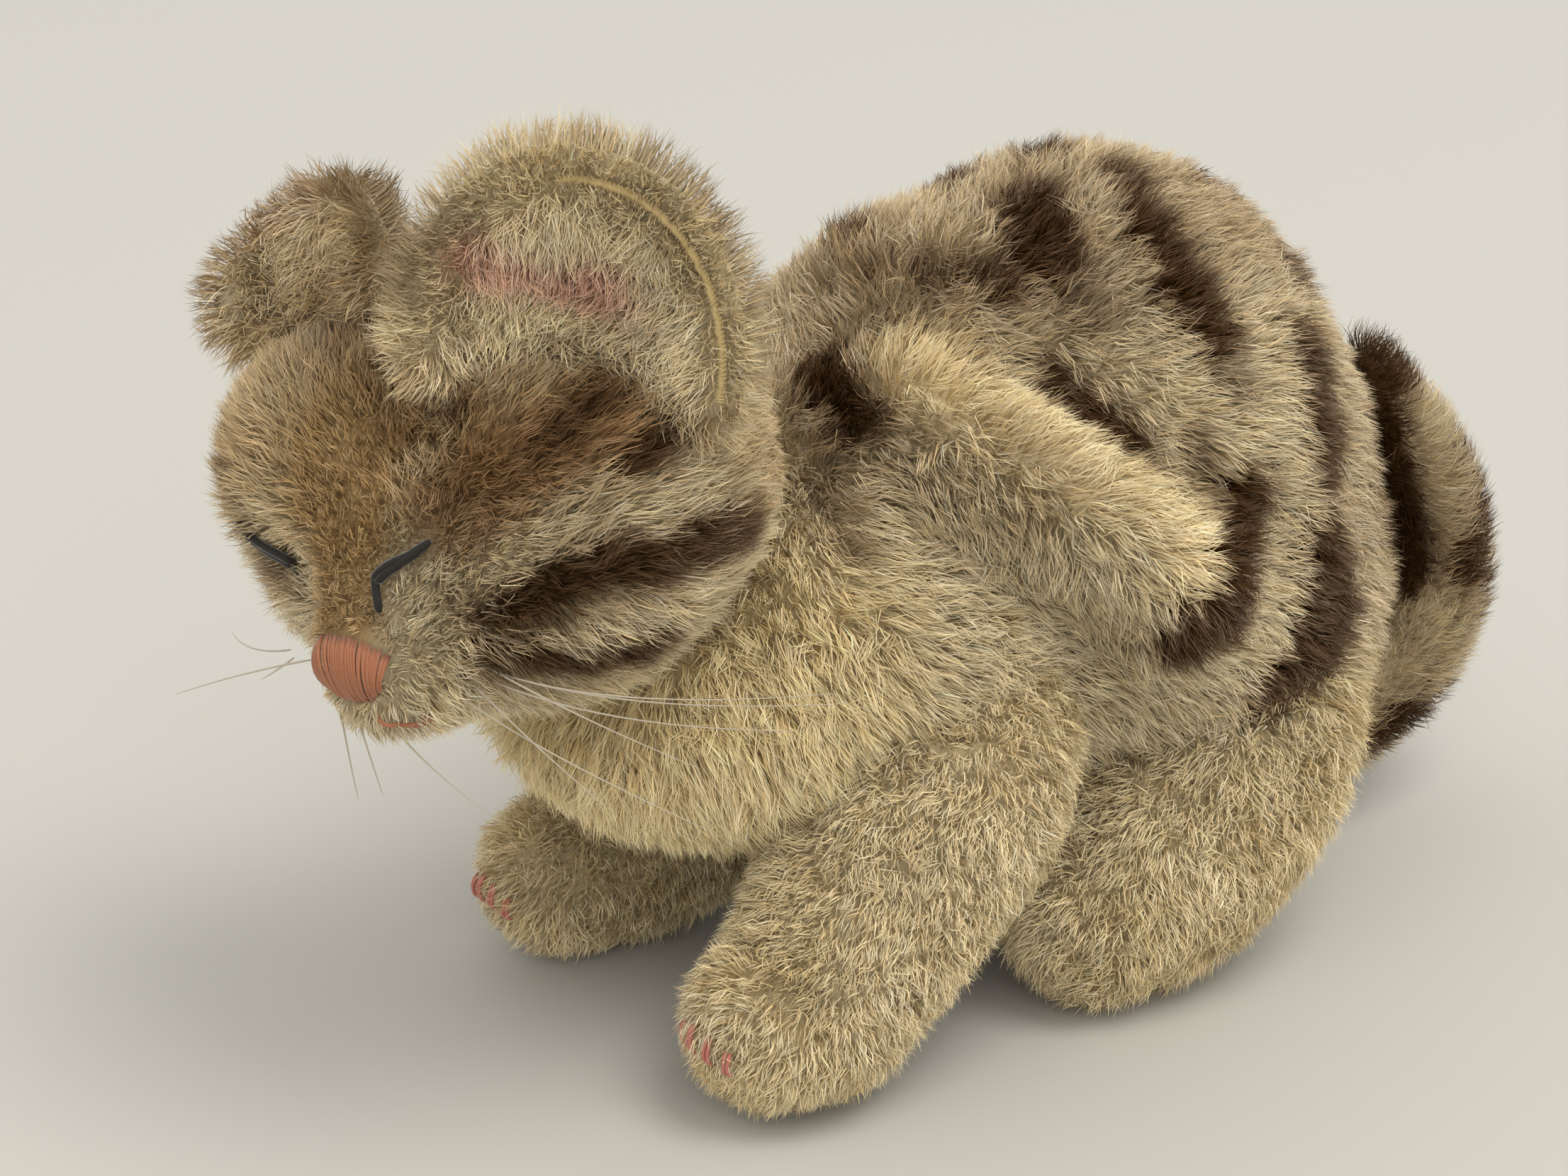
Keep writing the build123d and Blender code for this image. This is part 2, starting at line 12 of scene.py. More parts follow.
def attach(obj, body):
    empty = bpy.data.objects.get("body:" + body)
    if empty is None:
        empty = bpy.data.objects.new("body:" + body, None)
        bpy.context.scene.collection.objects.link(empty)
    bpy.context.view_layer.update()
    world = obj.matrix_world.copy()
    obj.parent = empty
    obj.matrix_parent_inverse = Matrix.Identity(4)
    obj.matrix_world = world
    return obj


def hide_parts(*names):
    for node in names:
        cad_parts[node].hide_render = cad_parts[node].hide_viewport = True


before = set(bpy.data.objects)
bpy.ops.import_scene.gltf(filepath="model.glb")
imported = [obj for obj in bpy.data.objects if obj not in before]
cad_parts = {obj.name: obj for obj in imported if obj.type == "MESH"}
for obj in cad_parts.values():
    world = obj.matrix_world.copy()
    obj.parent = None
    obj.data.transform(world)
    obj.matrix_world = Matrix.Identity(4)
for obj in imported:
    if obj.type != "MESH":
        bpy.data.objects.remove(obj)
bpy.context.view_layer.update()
FOOTPRINT = np.array([3.1, 36.55, 0.0])     # middle of the footprint in the drawing frame
RNG = np.random.default_rng(11)
scene = bpy.context.scene


# ---------------------------------------------------------------- small maths
def metres(points):
    return (np.asarray(points, float) - FOOTPRINT) * 0.001


def unit(v):
    v = np.asarray(v, float)
    return v / np.maximum(np.linalg.norm(v, axis=-1, keepdims=True), 1e-9)


def mix(a, b, f):
    f = np.asarray(f)[..., None] if np.ndim(f) else f
    return a * (1 - f) + b * f


def smooth(lo, hi, x):
    t = np.clip((x - lo) / (hi - lo), 0, 1)
    return t * t * (3 - 2 * t)


def hashed(ix, iy, iz, seed):
    h = (ix * 374761393 + iy * 668265263 + iz * 2147483647 + seed * 974634777) & 0xFFFFFFFF
    h = ((h ^ (h >> 13)) * 1274126177) & 0xFFFFFFFF
    return ((h ^ (h >> 16)) & 0xFFFF) / 65535.0


def noise(points, size, seed=0):
    """Value noise in 0..1 with cells of the given size, in mm."""
    q = np.asarray(points, float) / size
    base = np.floor(q).astype(np.int64)
    f = q - base
    f = f * f * (3 - 2 * f)
    total = np.zeros(len(q))
    for dx in (0, 1):
        for dy in (0, 1):
            for dz in (0, 1):
                w = (f[:, 0] if dx else 1 - f[:, 0]) * (f[:, 1] if dy else 1 - f[:, 1]) \
                    * (f[:, 2] if dz else 1 - f[:, 2])
                total += w * hashed(base[:, 0] + dx, base[:, 1] + dy, base[:, 2] + dz, seed)
    return total


def segment_distance(points, a, b):
    a, b = np.asarray(a, float), np.asarray(b, float)
    run = b - a
    t = np.clip(((points - a) @ run) / max(run @ run, 1e-9), 0, 1)
    return np.linalg.norm(points - (a + t[:, None] * run), axis=1)


def stroke_distance(points, line):
    """Distance to a polyline."""
    if len(line) == 1:
        return np.linalg.norm(points - np.asarray(line[0], float), axis=1)
    return np.min([segment_distance(points, a, b) for a, b in zip(line[:-1], line[1:])], axis=0)


def turn_xyz(pitch, roll, yaw):
    a, b, c = (math.radians(v) for v in (pitch, roll, yaw))
    rx = np.array([[1, 0, 0], [0, math.cos(a), -math.sin(a)], [0, math.sin(a), math.cos(a)]])
    ry = np.array([[math.cos(b), 0, math.sin(b)], [0, 1, 0], [-math.sin(b), 0, math.cos(b)]])
    rz = np.array([[math.cos(c), -math.sin(c), 0], [math.sin(c), math.cos(c), 0], [0, 0, 1]])
    return rx @ ry @ rz


def spline(rows, count):
    """Catmull-Rom through rows of numbers, the first column spaced evenly along the rows."""
    rows = np.asarray(rows, float)
    ext = np.vstack([2 * rows[0] - rows[1], rows, 2 * rows[-1] - rows[-2]])
    t = np.linspace(0, len(rows) - 1, count)
    i = np.minimum(t.astype(int), len(rows) - 2)
    f = (t - i)[:, None]
    p0, p1, p2, p3 = ext[i], ext[i + 1], ext[i + 2], ext[i + 3]
    return 0.5 * (2 * p1 + (p2 - p0) * f + (2 * p0 - 5 * p1 + 4 * p2 - p3) * f ** 2
                  + (3 * p1 - p0 - 3 * p2 + p3) * f ** 3)


# ---------------------------------------------------------------- surfaces
class Skin:
    """Closed surface in the drawing frame, with normals."""

    def __init__(self, points, faces):
        self.points = np.asarray(points, float)
        self.faces = faces
        self.refresh()

    def triangles(self):
        tris = []
        for f in self.faces:
            for k in range(1, len(f) - 1):
                tris.append((f[0], f[k], f[k + 1]))
        return np.array(tris)

    def refresh(self):
        self.tris = self.triangles()
        a, b, c = (self.points[self.tris[:, k]] for k in range(3))
        cross = np.cross(b - a, c - a)
        self.area = np.linalg.norm(cross, axis=1) / 2
        normals = np.zeros_like(self.points)
        for k in range(3):
            np.add.at(normals, self.tris[:, k], cross)
        self.normals = unit(normals)
        self.tree = None

    def bump(self, line, radius, height):
        """Raises the surface near a line, along its normal."""
        d = stroke_distance(self.points, line)
        self.points = self.points + self.normals * (height * np.exp(-(d / radius) ** 2))[:, None]
        self.refresh()

    def moved(self, turn, shift):
        self.points = self.points @ turn.T + np.asarray(shift, float)
        self.refresh()
        return self

    def inside(self, points, margin=0.0):
        if self.tree is None:
            self.tree = bvhtree.BVHTree.FromPolygons(
                [Vector(p) for p in self.points], [tuple(t) for t in self.tris.tolist()])
        low, high = self.points.min(0) - 1, self.points.max(0) + 1
        result = np.zeros(len(points), bool)
        near = np.where(((points > low) & (points < high)).all(1))[0]
        for i in near:
            p = Vector(points[i])
            hit, normal, _, _ = self.tree.find_nearest(p)
            if hit is not None and (p - hit).dot(normal) < -margin:
                result[i] = True
        return result


def loft(rings):
    """Surface through rings of equal length, with pointed ends."""
    n, m = rings.shape[0], rings.shape[1]
    points = np.vstack([rings.reshape(-1, 3), rings[0].mean(0), rings[-1].mean(0)])
    faces = []
    for i in range(n - 1):
        for j in range(m):
            k = (j + 1) % m
            faces.append((i * m + j, i * m + k, (i + 1) * m + k, (i + 1) * m + j))
    for j in range(m):
        k = (j + 1) % m
        faces.append((n * m, k, j))
        faces.append((n * m + 1, (n - 1) * m + j, (n - 1) * m + k))
    return Skin(points, faces)


def tube(path, rings=48, around=40, squash=1.0):
    """Round-ended tube; path rows are x, y, z, radius."""
    rows = spline(path, rings)
    centre, radius = rows[:, :3], rows[:, 3]
    tangent = unit(np.gradient(centre, axis=0))
    side = np.array([1.0, 0.0, 0.0])
    loops = []
    for c, t, r in zip(centre, tangent, radius):
        a = unit(side - (side @ t) * t)
        b = np.cross(t, a)
        ang = np.linspace(0, 2 * math.pi, around, endpoint=False)
        loops.append(c + r * (np.cos(ang)[:, None] * a + squash * np.sin(ang)[:, None] * b))
    head, tail = [], []
    for s in np.linspace(0.985, 0.12, 9):
        back = math.sqrt(1 - s * s)
        head.append(centre[0] - tangent[0] * radius[0] * back + (loops[0] - centre[0]) * s)
        tail.append(centre[-1] + tangent[-1] * radius[-1] * back + (loops[-1] - centre[-1]) * s)
    return loft(np.array(head[::-1] + loops + tail))


TORSO_SECTIONS = [
    (-14.0, 44.0, 3.0, 2.5), (-12.0, 44.0, 9.5, 8.0), (-7.0, 45.0, 16.0, 13.0), (2.0, 46.0, 21.0, 18.5),
    (15.0, 47.5, 24.5, 23.0), (28.0, 48.5, 26.8, 25.5), (41.0, 52.5, 29.2, 29.3), (55.0, 54.5, 30.6, 31.5),
    (68.0, 53.5, 30.0, 31.6), (78.5, 49.5, 25.4, 28.4), (85.5, 45.0, 18.0, 21.0), (89.0, 42.5, 9.0, 11.0),
    (90.4, 42.0, 2.5, 3.0),
]
HEAD_SECTIONS = [
    (26.2, 1.8, 1.8, 1.0), (25.0, 8.0, 5.0, 1.0), (21.0, 17.0, 10.6, 0.8), (13.0, 25.0, 15.2, 0.4),
    (4.0, 28.6, 17.4, 0.2), (-6.0, 27.0, 16.8, -0.3), (-15.0, 20.6, 13.6, -1.8), (-21.0, 13.6, 9.6, -4.0),
    (-24.8, 8.0, 6.2, -6.0), (-26.6, 4.8, 4.0, -6.8), (-27.4, 1.4, 1.2, -7.0),
]
HEAD_CENTRE = np.array([1.5, -19.5, 69.5])
HEAD_TURN = turn_xyz(15.0, -7.0, 19.0)


def from_head(points):
    return np.asarray(points, float) @ HEAD_TURN.T + HEAD_CENTRE


def to_head(points):
    return (np.asarray(points, float) - HEAD_CENTRE) @ HEAD_TURN


def sections_skin(sections, columns, rings=88, around=96):
    """Loft of elliptical sections across Y; columns give the meaning of each section row."""
    rows = spline(sections, rings)
    ang = np.linspace(0, 2 * math.pi, around, endpoint=False)
    loops = []
    for row in rows:
        y, z, rx, rz = (row[c] for c in columns)
        loops.append(np.stack([max(rx, 0.3) * np.cos(ang), np.full(around, y),
                               z + max(rz, 0.3) * np.sin(ang)], 1))
    loops = np.array(loops)
    skin = loft(loops)
    centre = skin.points.mean(0)
    outward = ((skin.points - centre) * skin.normals).sum(1).mean()
    if outward < 0:
        skin.faces = [tuple(reversed(f)) for f in skin.faces]
        skin.refresh()
    return skin


torso = sections_skin(TORSO_SECTIONS, (0, 1, 2, 3))
torso.bump([(12, 25, 74), (20, 30, 70), (27, 37, 64), (31, 45, 57), (32, 49, 52)], 6.0, 7.4)
torso.bump([(17, 38, 75), (25, 43, 69), (30, 51, 62)], 5.0, -3.2)
torso.bump([(21, 20, 62), (27, 29, 55), (30, 37, 47)], 5.5, -3.4)
torso.bump([(-13, 29, 73), (-22, 37, 68), (-29, 48, 58)], 7.0, 2.4)
torso.bump([(-8, 36, 79), (2, 35, 79)], 9.0, 4.4)
torso.bump([(-3, 60, 87), (-3, 74, 82)], 16.0, 1.6)
torso.bump([(26, 57, 38), (25, 72, 37)], 11.0, 4.6)
torso.bump([(-26, 57, 38), (-25, 72, 37)], 11.0, 4.6)
torso.bump([(20, 16, 58), (24, 20, 50)], 9.0, 2.0)
torso.bump([(-20, 16, 58), (-24, 20, 50)], 9.0, 2.0)

head = sections_skin(HEAD_SECTIONS, (0, 3, 1, 2))
for side in (1, -1):
    head.bump([(side * 16, -10, -6)], 9.0, 1.8)
    head.bump([(side * 6.0, -23, -9)], 4.5, 1.4)
    head.bump([(side * 10, -19, 1)], 4.5, -1.2)
    head.bump([(side * 13, -7, 12), (side * 20, 0, 9)], 7.5, 3.6)
head.bump([(0, -25, -3), (0, -14, 9)], 4.0, 0.9)
head.bump([(0, -3, 17)], 12.0, 2.2)
low_front = smooth(0, -11, head.points[:, 2]) * smooth(-6, -20, head.points[:, 1])
head.points[:, 0] = head.points[:, 0] * (1 - 0.22 * low_front) + 1.2 * low_front
head.points[:, 2] += 1.2 * low_front
head.bump([(-12, -14, 11)], 9.0, 2.2)
far_side = smooth(9, 1, head.points[:, 2]) * smooth(-4, -14, head.points[:, 1])
far_side = far_side * smooth(0, -9, head.points[:, 0])
head.points[:, 0] += 3.6 * far_side
head.points[:, 1] += 1.6 * far_side
head.moved(HEAD_TURN, HEAD_CENTRE)

left_foreleg = tube([
    (18.5, 27, 46, 9.5), (18.8, 27, 39, 13.2), (20.2, 23.5, 31, 13.8), (21.8, 16.5, 22.5, 12.0),
    (22.8, 9.5, 15.5, 10.6), (23.2, 5.0, 12, 9.8), (23.2, 1.8, 11.2, 8.6)])
right_foreleg = tube([
    (-18.5, 27, 46, 9.5), (-18.8, 27, 37, 13.0), (-19.4, 24, 25.5, 14.0), (-19.8, 17.5, 15.5, 12.2),
    (-20.2, 10, 11.2, 9.6), (-20.4, 4.5, 10.2, 8.8), (-20.4, 1.0, 9.8, 7.6)])
hind_path = [
    (20.5, 67, 40, 8.5), (20.6, 67, 33, 12.0), (20.8, 63.5, 25.5, 13.6), (21.4, 59.5, 20.5, 13.4),
    (22.4, 54.5, 16.5, 12.8), (23.0, 49, 13.2, 11.0), (23.2, 45.5, 11.8, 9.4)]
left_hindleg = tube(hind_path, squash=1.12)
right_hindleg = tube([(-x, y, z, r) for x, y, z, r in hind_path], squash=1.12)
for leg in (right_foreleg, right_hindleg, left_foreleg, left_hindleg):
    outward = ((leg.points - leg.points.mean(0)) * leg.normals).sum(1).mean()
    if outward < 0:
        leg.faces = [tuple(reversed(f)) for f in leg.faces]
    leg.points[:, 2] = np.maximum(leg.points[:, 2], 0.35)
    leg.refresh()

tail = tube([
    (3, 88, 15, 5.2), (3, 96, 13.6, 6.4), (3.2, 105, 17.5, 6.8), (3.4, 110.5, 27, 7.0),
    (3.6, 110, 37, 6.2), (3.8, 106.5, 45, 5.4), (4.0, 102, 53, 3.8), (4.0, 99.5, 58.5, 1.8)])
if ((tail.points - tail.points.mean(0)) * tail.normals).sum(1).mean() < 0:
    tail.faces = [tuple(reversed(f)) for f in tail.faces]
    tail.refresh()


# ---------------------------------------------------------------- ears
def ear_frame(origin, along, up, half_width, height):
    """Ear in the head frame from places in the drawing frame: base, run of the base, way up, size."""
    z = unit(np.asarray(up, float) @ HEAD_TURN)
    x = np.asarray(along, float) @ HEAD_TURN
    x = unit(x - (x @ z) * z)
    return {"turn": np.array([x, np.cross(z, x), z]).T, "origin": to_head(origin),
            "half_width": half_width, "height": height}


EAR_CUP = 24.0
EAR_LOW = 7.0
SEAM_SHARE = 0.87      # where the bare seam runs, from the middle of the ear to its rim
SEAM_BARE = 0.022
LEFT_EAR = ear_frame((14.6, -16.2, 86.2), (0.60, 0.71, -0.356), (0.20, -0.04, 0.94), 17.4, 29.0)
RIGHT_EAR = ear_frame((-13.9, -24.6, 86.3), (0.80, 0.25, 0.42), (-0.50, -0.2, 0.80), 14.6, 13.6)


def ear_local(ear, points):
    """Points of the drawing frame along the ear, away from its hollow side, and up it."""
    return (to_head(points) - ear["origin"]) @ ear["turn"]


def ear_surface(ear, layer, rings=30, around=110):
    """One layer of the ear: a disc with a round rim laid on to a ball."""
    ang = np.linspace(0, 2 * math.pi, around, endpoint=False)
    c, s = np.cos(ang), np.sin(ang)
    x0 = ear["half_width"] * np.sign(c) * np.abs(c) ** 0.92
    z0 = EAR_LOW + np.where(s > 0, s * (ear["height"] - EAR_LOW), s * (EAR_LOW + 3))
    pts = []
    for i in range(rings + 1):
        share = (i / rings) ** 0.9
        x, z = x0 * share, EAR_LOW + (z0 - EAR_LOW) * share
        r = EAR_CUP - layer * (1 - share ** 6)
        y = np.sqrt(np.maximum(r * r - x * x - 0.6 * (z - 12) ** 2, 1)) - EAR_CUP
        pts.append(np.stack([x, y, z], 1))
    faces = []
    for i in range(rings):
        for j in range(around):
            k = (j + 1) % around
            faces.append((i * around + j, i * around + k, (i + 1) * around + k, (i + 1) * around + j))
    local = np.array(pts).reshape(-1, 3)
    return from_head(local @ ear["turn"].T + ear["origin"]), faces


def ear_skins(ear):
    away = HEAD_TURN @ ear["turn"][:, 1]
    made = []
    for layer, way in ((0.0, 1), (2.4, -1)):
        points, faces = ear_surface(ear, layer)
        skin = Skin(points, faces)
        if (skin.normals @ away).mean() * way < 0:
            skin.faces = [tuple(reversed(f)) for f in skin.faces]
            skin.refresh()
        made.append(skin)
    return made


left_ear_back, left_ear_lining = ear_skins(LEFT_EAR)
right_ear_back, right_ear_lining = ear_skins(RIGHT_EAR)

# ---------------------------------------------------------------- colours (linear)
CREAM = np.array([0.715, 0.60, 0.385])
WARM_CREAM = np.array([0.80, 0.655, 0.385])
TAN = np.array([0.42, 0.27, 0.115])
BROWN = np.array([0.064, 0.026, 0.006])
RED_BROWN = np.array([0.26, 0.115, 0.034])
GREY_BROWN = np.array([0.22, 0.155, 0.088])
PINK = np.array([0.60, 0.31, 0.24])

# line along the top of the raised flank fold, where body_colour paints a highlight
FLANK_RIDGE = [(13, 27, 76), (16, 28, 75), (23, 33, 70), (30, 41, 64), (34, 48, 58)]
# stripes: line, half width, depth of colour; the head's are in the head frame
BODY_STRIPES = [
    ([(2, 21, 75), (8, 19, 75), (12, 19, 74)], 2.7, 1.0),
    ([(14, 13, 69), (17, 13, 67), (20, 12, 63)], 2.2, 0.42),
    ([(-14, 22, 74), (-20, 18, 66)], 2.6, 0.9), ([(-1, 30, 83), (-1, 31, 84)], 1.5, 0.9),
    ([(2, 34, 86), (5, 34, 85)], 1.6, 0.6), ([(8, 38, 85), (11, 39, 83)], 1.9, 1.0),
    ([(-9, 34, 84), (-15, 36, 81)], 2.2, 0.9), ([(2, 49, 89), (7, 47, 87), (11, 45, 85)], 3.6, 1.0),
    ([(13, 46, 84), (18, 46, 81)], 2.4, 0.45), ([(-12, 50, 86), (-20, 50, 80)], 2.8, 1.0),
    ([(3, 61, 90), (6, 60, 89)], 2.3, 0.95),
    ([(11, 59, 88), (19, 57, 83), (24, 58, 78)], 3.0, 1.0),
    ([(25, 58, 76), (27, 58, 72)], 2.2, 0.45),
    ([(-8, 60, 90), (-16, 62, 85), (-25, 60, 76)], 2.8, 1.0), ([(1, 74, 87), (5, 74, 86)], 1.8, 0.95),
    ([(-9, 72, 87), (-17, 72, 82)], 2.2, 0.95), ([(12, 75, 81), (15, 78, 77)], 2.2, 0.95),
    ([(24, 72, 74), (28, 71, 70), (31, 69, 62)], 3.0, 1.0), ([(-26, 71, 72), (-32, 68, 60)], 2.4, 1.0),
    ([(19, 40, 75), (22, 42, 73), (27, 45, 69)], 1.9, 1.0), ([(-24, 38, 75), (-29, 43, 68)], 2.2, 1.0),
    ([(29, 52, 67), (31, 54, 63)], 2.2, 0.5),
    ([(32, 56, 61), (35, 54, 57)], 3.2, 1.0),
    ([(36, 52, 55), (38, 49, 53), (37, 45, 50)], 4.6, 1.0),
    ([(-33, 52, 64), (-35, 50, 54), (-33, 45, 49)], 3.2, 1.0),
    ([(33, 68, 54), (34, 70, 50)], 3.6, 1.0), ([(34, 69, 46), (34, 66, 40), (33, 62, 37)], 5.2, 1.0),
    ([(-34, 67, 54), (-35, 70, 46), (-34, 64, 38)], 3.6, 1.0),
    ([(2, 84, 76), (8, 87, 68), (7, 90, 58)], 2.2, 0.9),
    ([(-12, 83, 74), (-15, 87, 64), (-16, 88, 54)], 2.4, 0.9),
    ([(20, 82, 62), (24, 82, 52), (22, 83, 44)], 2.6, 0.95), ([(-25, 80, 58), (-26, 80, 48)], 2.4, 0.95),
]
HEAD_STRIPES = [
    ([(16.5, -20.5, -0.8), (20.4, -19.4, 0), (24, -15.5, 0.7), (28, -10, -0.3),
     (30, -4, -2), (30, 4, -4)], 2.5, 1.0),
    ([(15.5, -21.5, -4.5), (18.5, -19, -6), (22, -14, -9), (25, -7, -11)], 2.1, 1.0),
    ([(14.5, -18, 10), (18, -15, 12.4), (21, -11, 13.8)], 2.1, 0.30),
    ([(21, -11, 13.8), (24, -5, 15.4), (25, 0, 16)], 2.0, 0.7),
    ([(28, -6, 9.6), (29, 0, 10.6), (29, 6, 9.6)], 2.1, 1.0), ([(24, -2, 14), (27, 3, 12)], 1.8, 0.8),
    ([(-16.5, -20.5, -0.8), (-20.4, -18, 0), (-25, -12, 0), (-29, -4, -2), (-29, 5, -3)], 2.3, 1.0),
    ([(-16, -20, -5), (-21, -14, -8), (-25, -7, -10)], 2.1, 1.0),
    ([(-14.5, -18, 10), (-18, -15, 12), (-23, -6, 14)], 2.1, 0.8), ([(-28, -4, 9), (-29, 5, 9)], 2.0, 1.0),
    ([(-18, -17, 5), (-14.5, -19, 6)], 1.3, 0.95), ([(-12, -21, 2.5), (-9, -22.5, 2)], 1.1, 0.9),
    ([(-9, -12, 17), (-7, -4, 20)], 1.7, 0.75), ([(-1, -10, 19), (0, 0, 21)], 1.6, 0.75),
    ([(7, -9, 19), (8, 0, 21)], 1.7, 0.8), ([(13, -13, 17), (12, -9, 18)], 1.4, 0.6),
    ([(4, 8, 20), (5, 16, 14), (5, 22, 8)], 2.0, 0.9), ([(-4, 8, 20), (-5, 16, 14), (-5, 22, 8)], 2.0, 0.9),
    ([(14, 12, 15), (15, 18, 9)], 2.0, 0.9), ([(-14, 12, 15), (-15, 18, 9)], 2.0, 0.9),
]
TAIL_STRIPES = [
    ([(4, 99, 63), (5, 101, 56)], 6.0, 1.0),
    ([(8, 99, 54), (10, 99, 47), (10, 101, 38), (10, 103, 32)], 3.8, 1.0),
    ([(5, 117, 44), (8, 116, 38), (11, 112, 31)], 3.4, 1.0), ([(2, 118, 36), (-4, 113, 40)], 2.3, 1.0),
    ([(10, 115, 27), (6, 118, 22)], 2.6, 0.95),
    ([(12, 98, 11), (11, 105, 12), (6, 112, 12), (0, 112, 11)], 3.2, 1.0),
    ([(-4, 100, 60), (-4, 98, 50)], 2.6, 1.0),
]


def striped(points, stripes, wobble=1.25):
    """Depth of the stripe colour and of its reddish edge at each point."""
    jig = (noise(points, 2.4, 3) - 0.5) * 2 * wobble + (noise(points, 0.8, 4) - 0.5) * 0.9
    deep = np.zeros(len(points))
    edge = np.zeros(len(points))
    for line, width, depth in stripes:
        d = stroke_distance(points, line) + jig
        deep = np.maximum(deep, depth * (1 - smooth(width - 0.6, width + 0.6, d)))
        edge = np.maximum(edge, depth * (1 - smooth(width, width + 2.0, d)))
    return deep, edge


def coat(points, base, stripes):
    """Base cloth colour with printed stripes."""
    deep, edge = striped(points, stripes)
    return mix(mix(base, RED_BROWN, 0.45 * edge), BROWN, deep)


def body_colour(points):
    base = mix(CREAM, CREAM * 0.84, noise(points, 9, 21))
    neck = smooth(58, 76, points[:, 2]) * smooth(40, 28, points[:, 1])
    base = mix(base, GREY_BROWN * 1.7, 0.42 * neck)
    # painted highlight: the top of the raised flank fold is drawn in a lighter warm cream and kept free of
    # the grey-brown
    painted_ridge_highlight = 1 - smooth(4, 9, stroke_distance(points, FLANK_RIDGE))
    base = mix(base, WARM_CREAM * 1.03, 0.8 * painted_ridge_highlight)
    rump = smooth(60, 84, points[:, 1])
    base = mix(base, GREY_BROWN * 1.5, 0.5 * rump * (1 - painted_ridge_highlight))
    crest = smooth(74, 86, points[:, 2]) * smooth(20, 34, points[:, 1])
    base = mix(base, GREY_BROWN * 2.0, 0.45 * crest * (1 - painted_ridge_highlight))
    chest = smooth(24, 6, points[:, 1]) * smooth(74, 58, points[:, 2])
    return coat(points, mix(base, WARM_CREAM, chest), BODY_STRIPES)


def head_colour(points):
    q = to_head(points)
    base = mix(CREAM, CREAM * 0.84, noise(points, 7, 22))
    front = smooth(8, 3.5, np.abs(q[:, 0] - 0.5)) * smooth(2, -8, q[:, 1]) * smooth(-5, 0, q[:, 2])
    crown = smooth(4, 13, q[:, 2]) * smooth(-16, -4, q[:, 1])
    brow = smooth(4, 14, q[:, 2]) * (0.5 + 0.5 * noise(points, 4, 23))
    base = mix(base, TAN, np.clip(0.9 * front + 0.85 * brow, 0, 0.95))
    base = mix(base, GREY_BROWN * 0.75, 0.7 * crown * smooth(19, 10, np.abs(q[:, 0])))
    # painted shade: the side of the head under and behind the near ear is drawn half-way to tan, for the
    # ear's shadow
    painted_ear_shade = smooth(0, 8, q[:, 1]) * smooth(12, 19, q[:, 0]) * smooth(-8, -2, q[:, 2])
    base = mix(base, TAN, 0.5 * painted_ear_shade)
    foot = 1 - smooth(1.5, 4.5, stroke_distance(q, [(6, -14, 16), (13, -9, 17), (18, -4, 14)]))
    base = mix(base, RED_BROWN * 0.8, 0.5 * foot)
    temple = 1 - smooth(3, 6.5, stroke_distance(q, [(13, -18, 9), (20, -12, 13), (24, -4, 14)]))
    base = mix(base, RED_BROWN * 1.2, 0.55 * temple)
    deep, edge = striped(q, HEAD_STRIPES, 1.0)
    return mix(mix(base, RED_BROWN, 0.45 * edge), BROWN, 0.95 * deep)


def tail_colour(points):
    base = mix(CREAM, GREY_BROWN * 1.4, 0.1 + 0.45 * noise(points, 5, 5))
    return coat(points, base, TAIL_STRIPES)


def leg_colour(points):
    return mix(CREAM * 1.02, WARM_CREAM * 0.9, noise(points, 7, 6))


def ear_back_colour(ear):
    def colour(points):
        share = 0.35 if ear is LEFT_EAR else 1.0
        return mix(CREAM, GREY_BROWN * 1.5, share * noise(points, 4, 8))
    return colour


def ear_lining_colour(ear, pink=1.0):
    def colour(points):
        q = ear_local(ear, points)
        base = mix(CREAM * 1.12, CREAM * 0.95, noise(points, 5, 9))
        d = segment_distance(q * (1, 0, 1), (-9.5, 0, 16.0), (3.0, 0, 14.0))
        d = d + 2.5 * (noise(points, 2.2, 10) - 0.5)
        base = mix(base, PINK, pink * 0.75 * (1 - smooth(0.6, 4.6, d)))
        return mix(base, TAN, 0.3 * smooth(8, 4, q[:, 2]) + 0.4 * (1 - pink))
    return colour


# ---------------------------------------------------------------- materials
def principled(name, rough, sheen=0.0, specular=0.5):
    material = bpy.data.materials.new(name)
    material.use_nodes = True
    shader = material.node_tree.nodes["Principled BSDF"]
    shader.inputs["Roughness"].default_value = rough
    shader.inputs["Sheen Weight"].default_value = sheen
    shader.inputs["Sheen Roughness"].default_value = 0.4
    shader.inputs["Specular IOR Level"].default_value = specular
    shader.inputs["Specular Tint"].default_value = (1.0, 0.86, 0.64, 1)
    return material, shader


def attribute_material(name, rough, sheen, fallback, specular=0.5):
    material, shader = principled(name, rough, sheen, specular)
    shader.inputs["Base Color"].default_value = (*fallback, 1)
    source = material.node_tree.nodes.new("ShaderNodeAttribute")
    source.attribute_name = "pile"
    material.node_tree.links.new(source.outputs["Color"], shader.inputs["Base Color"])
    return material, shader


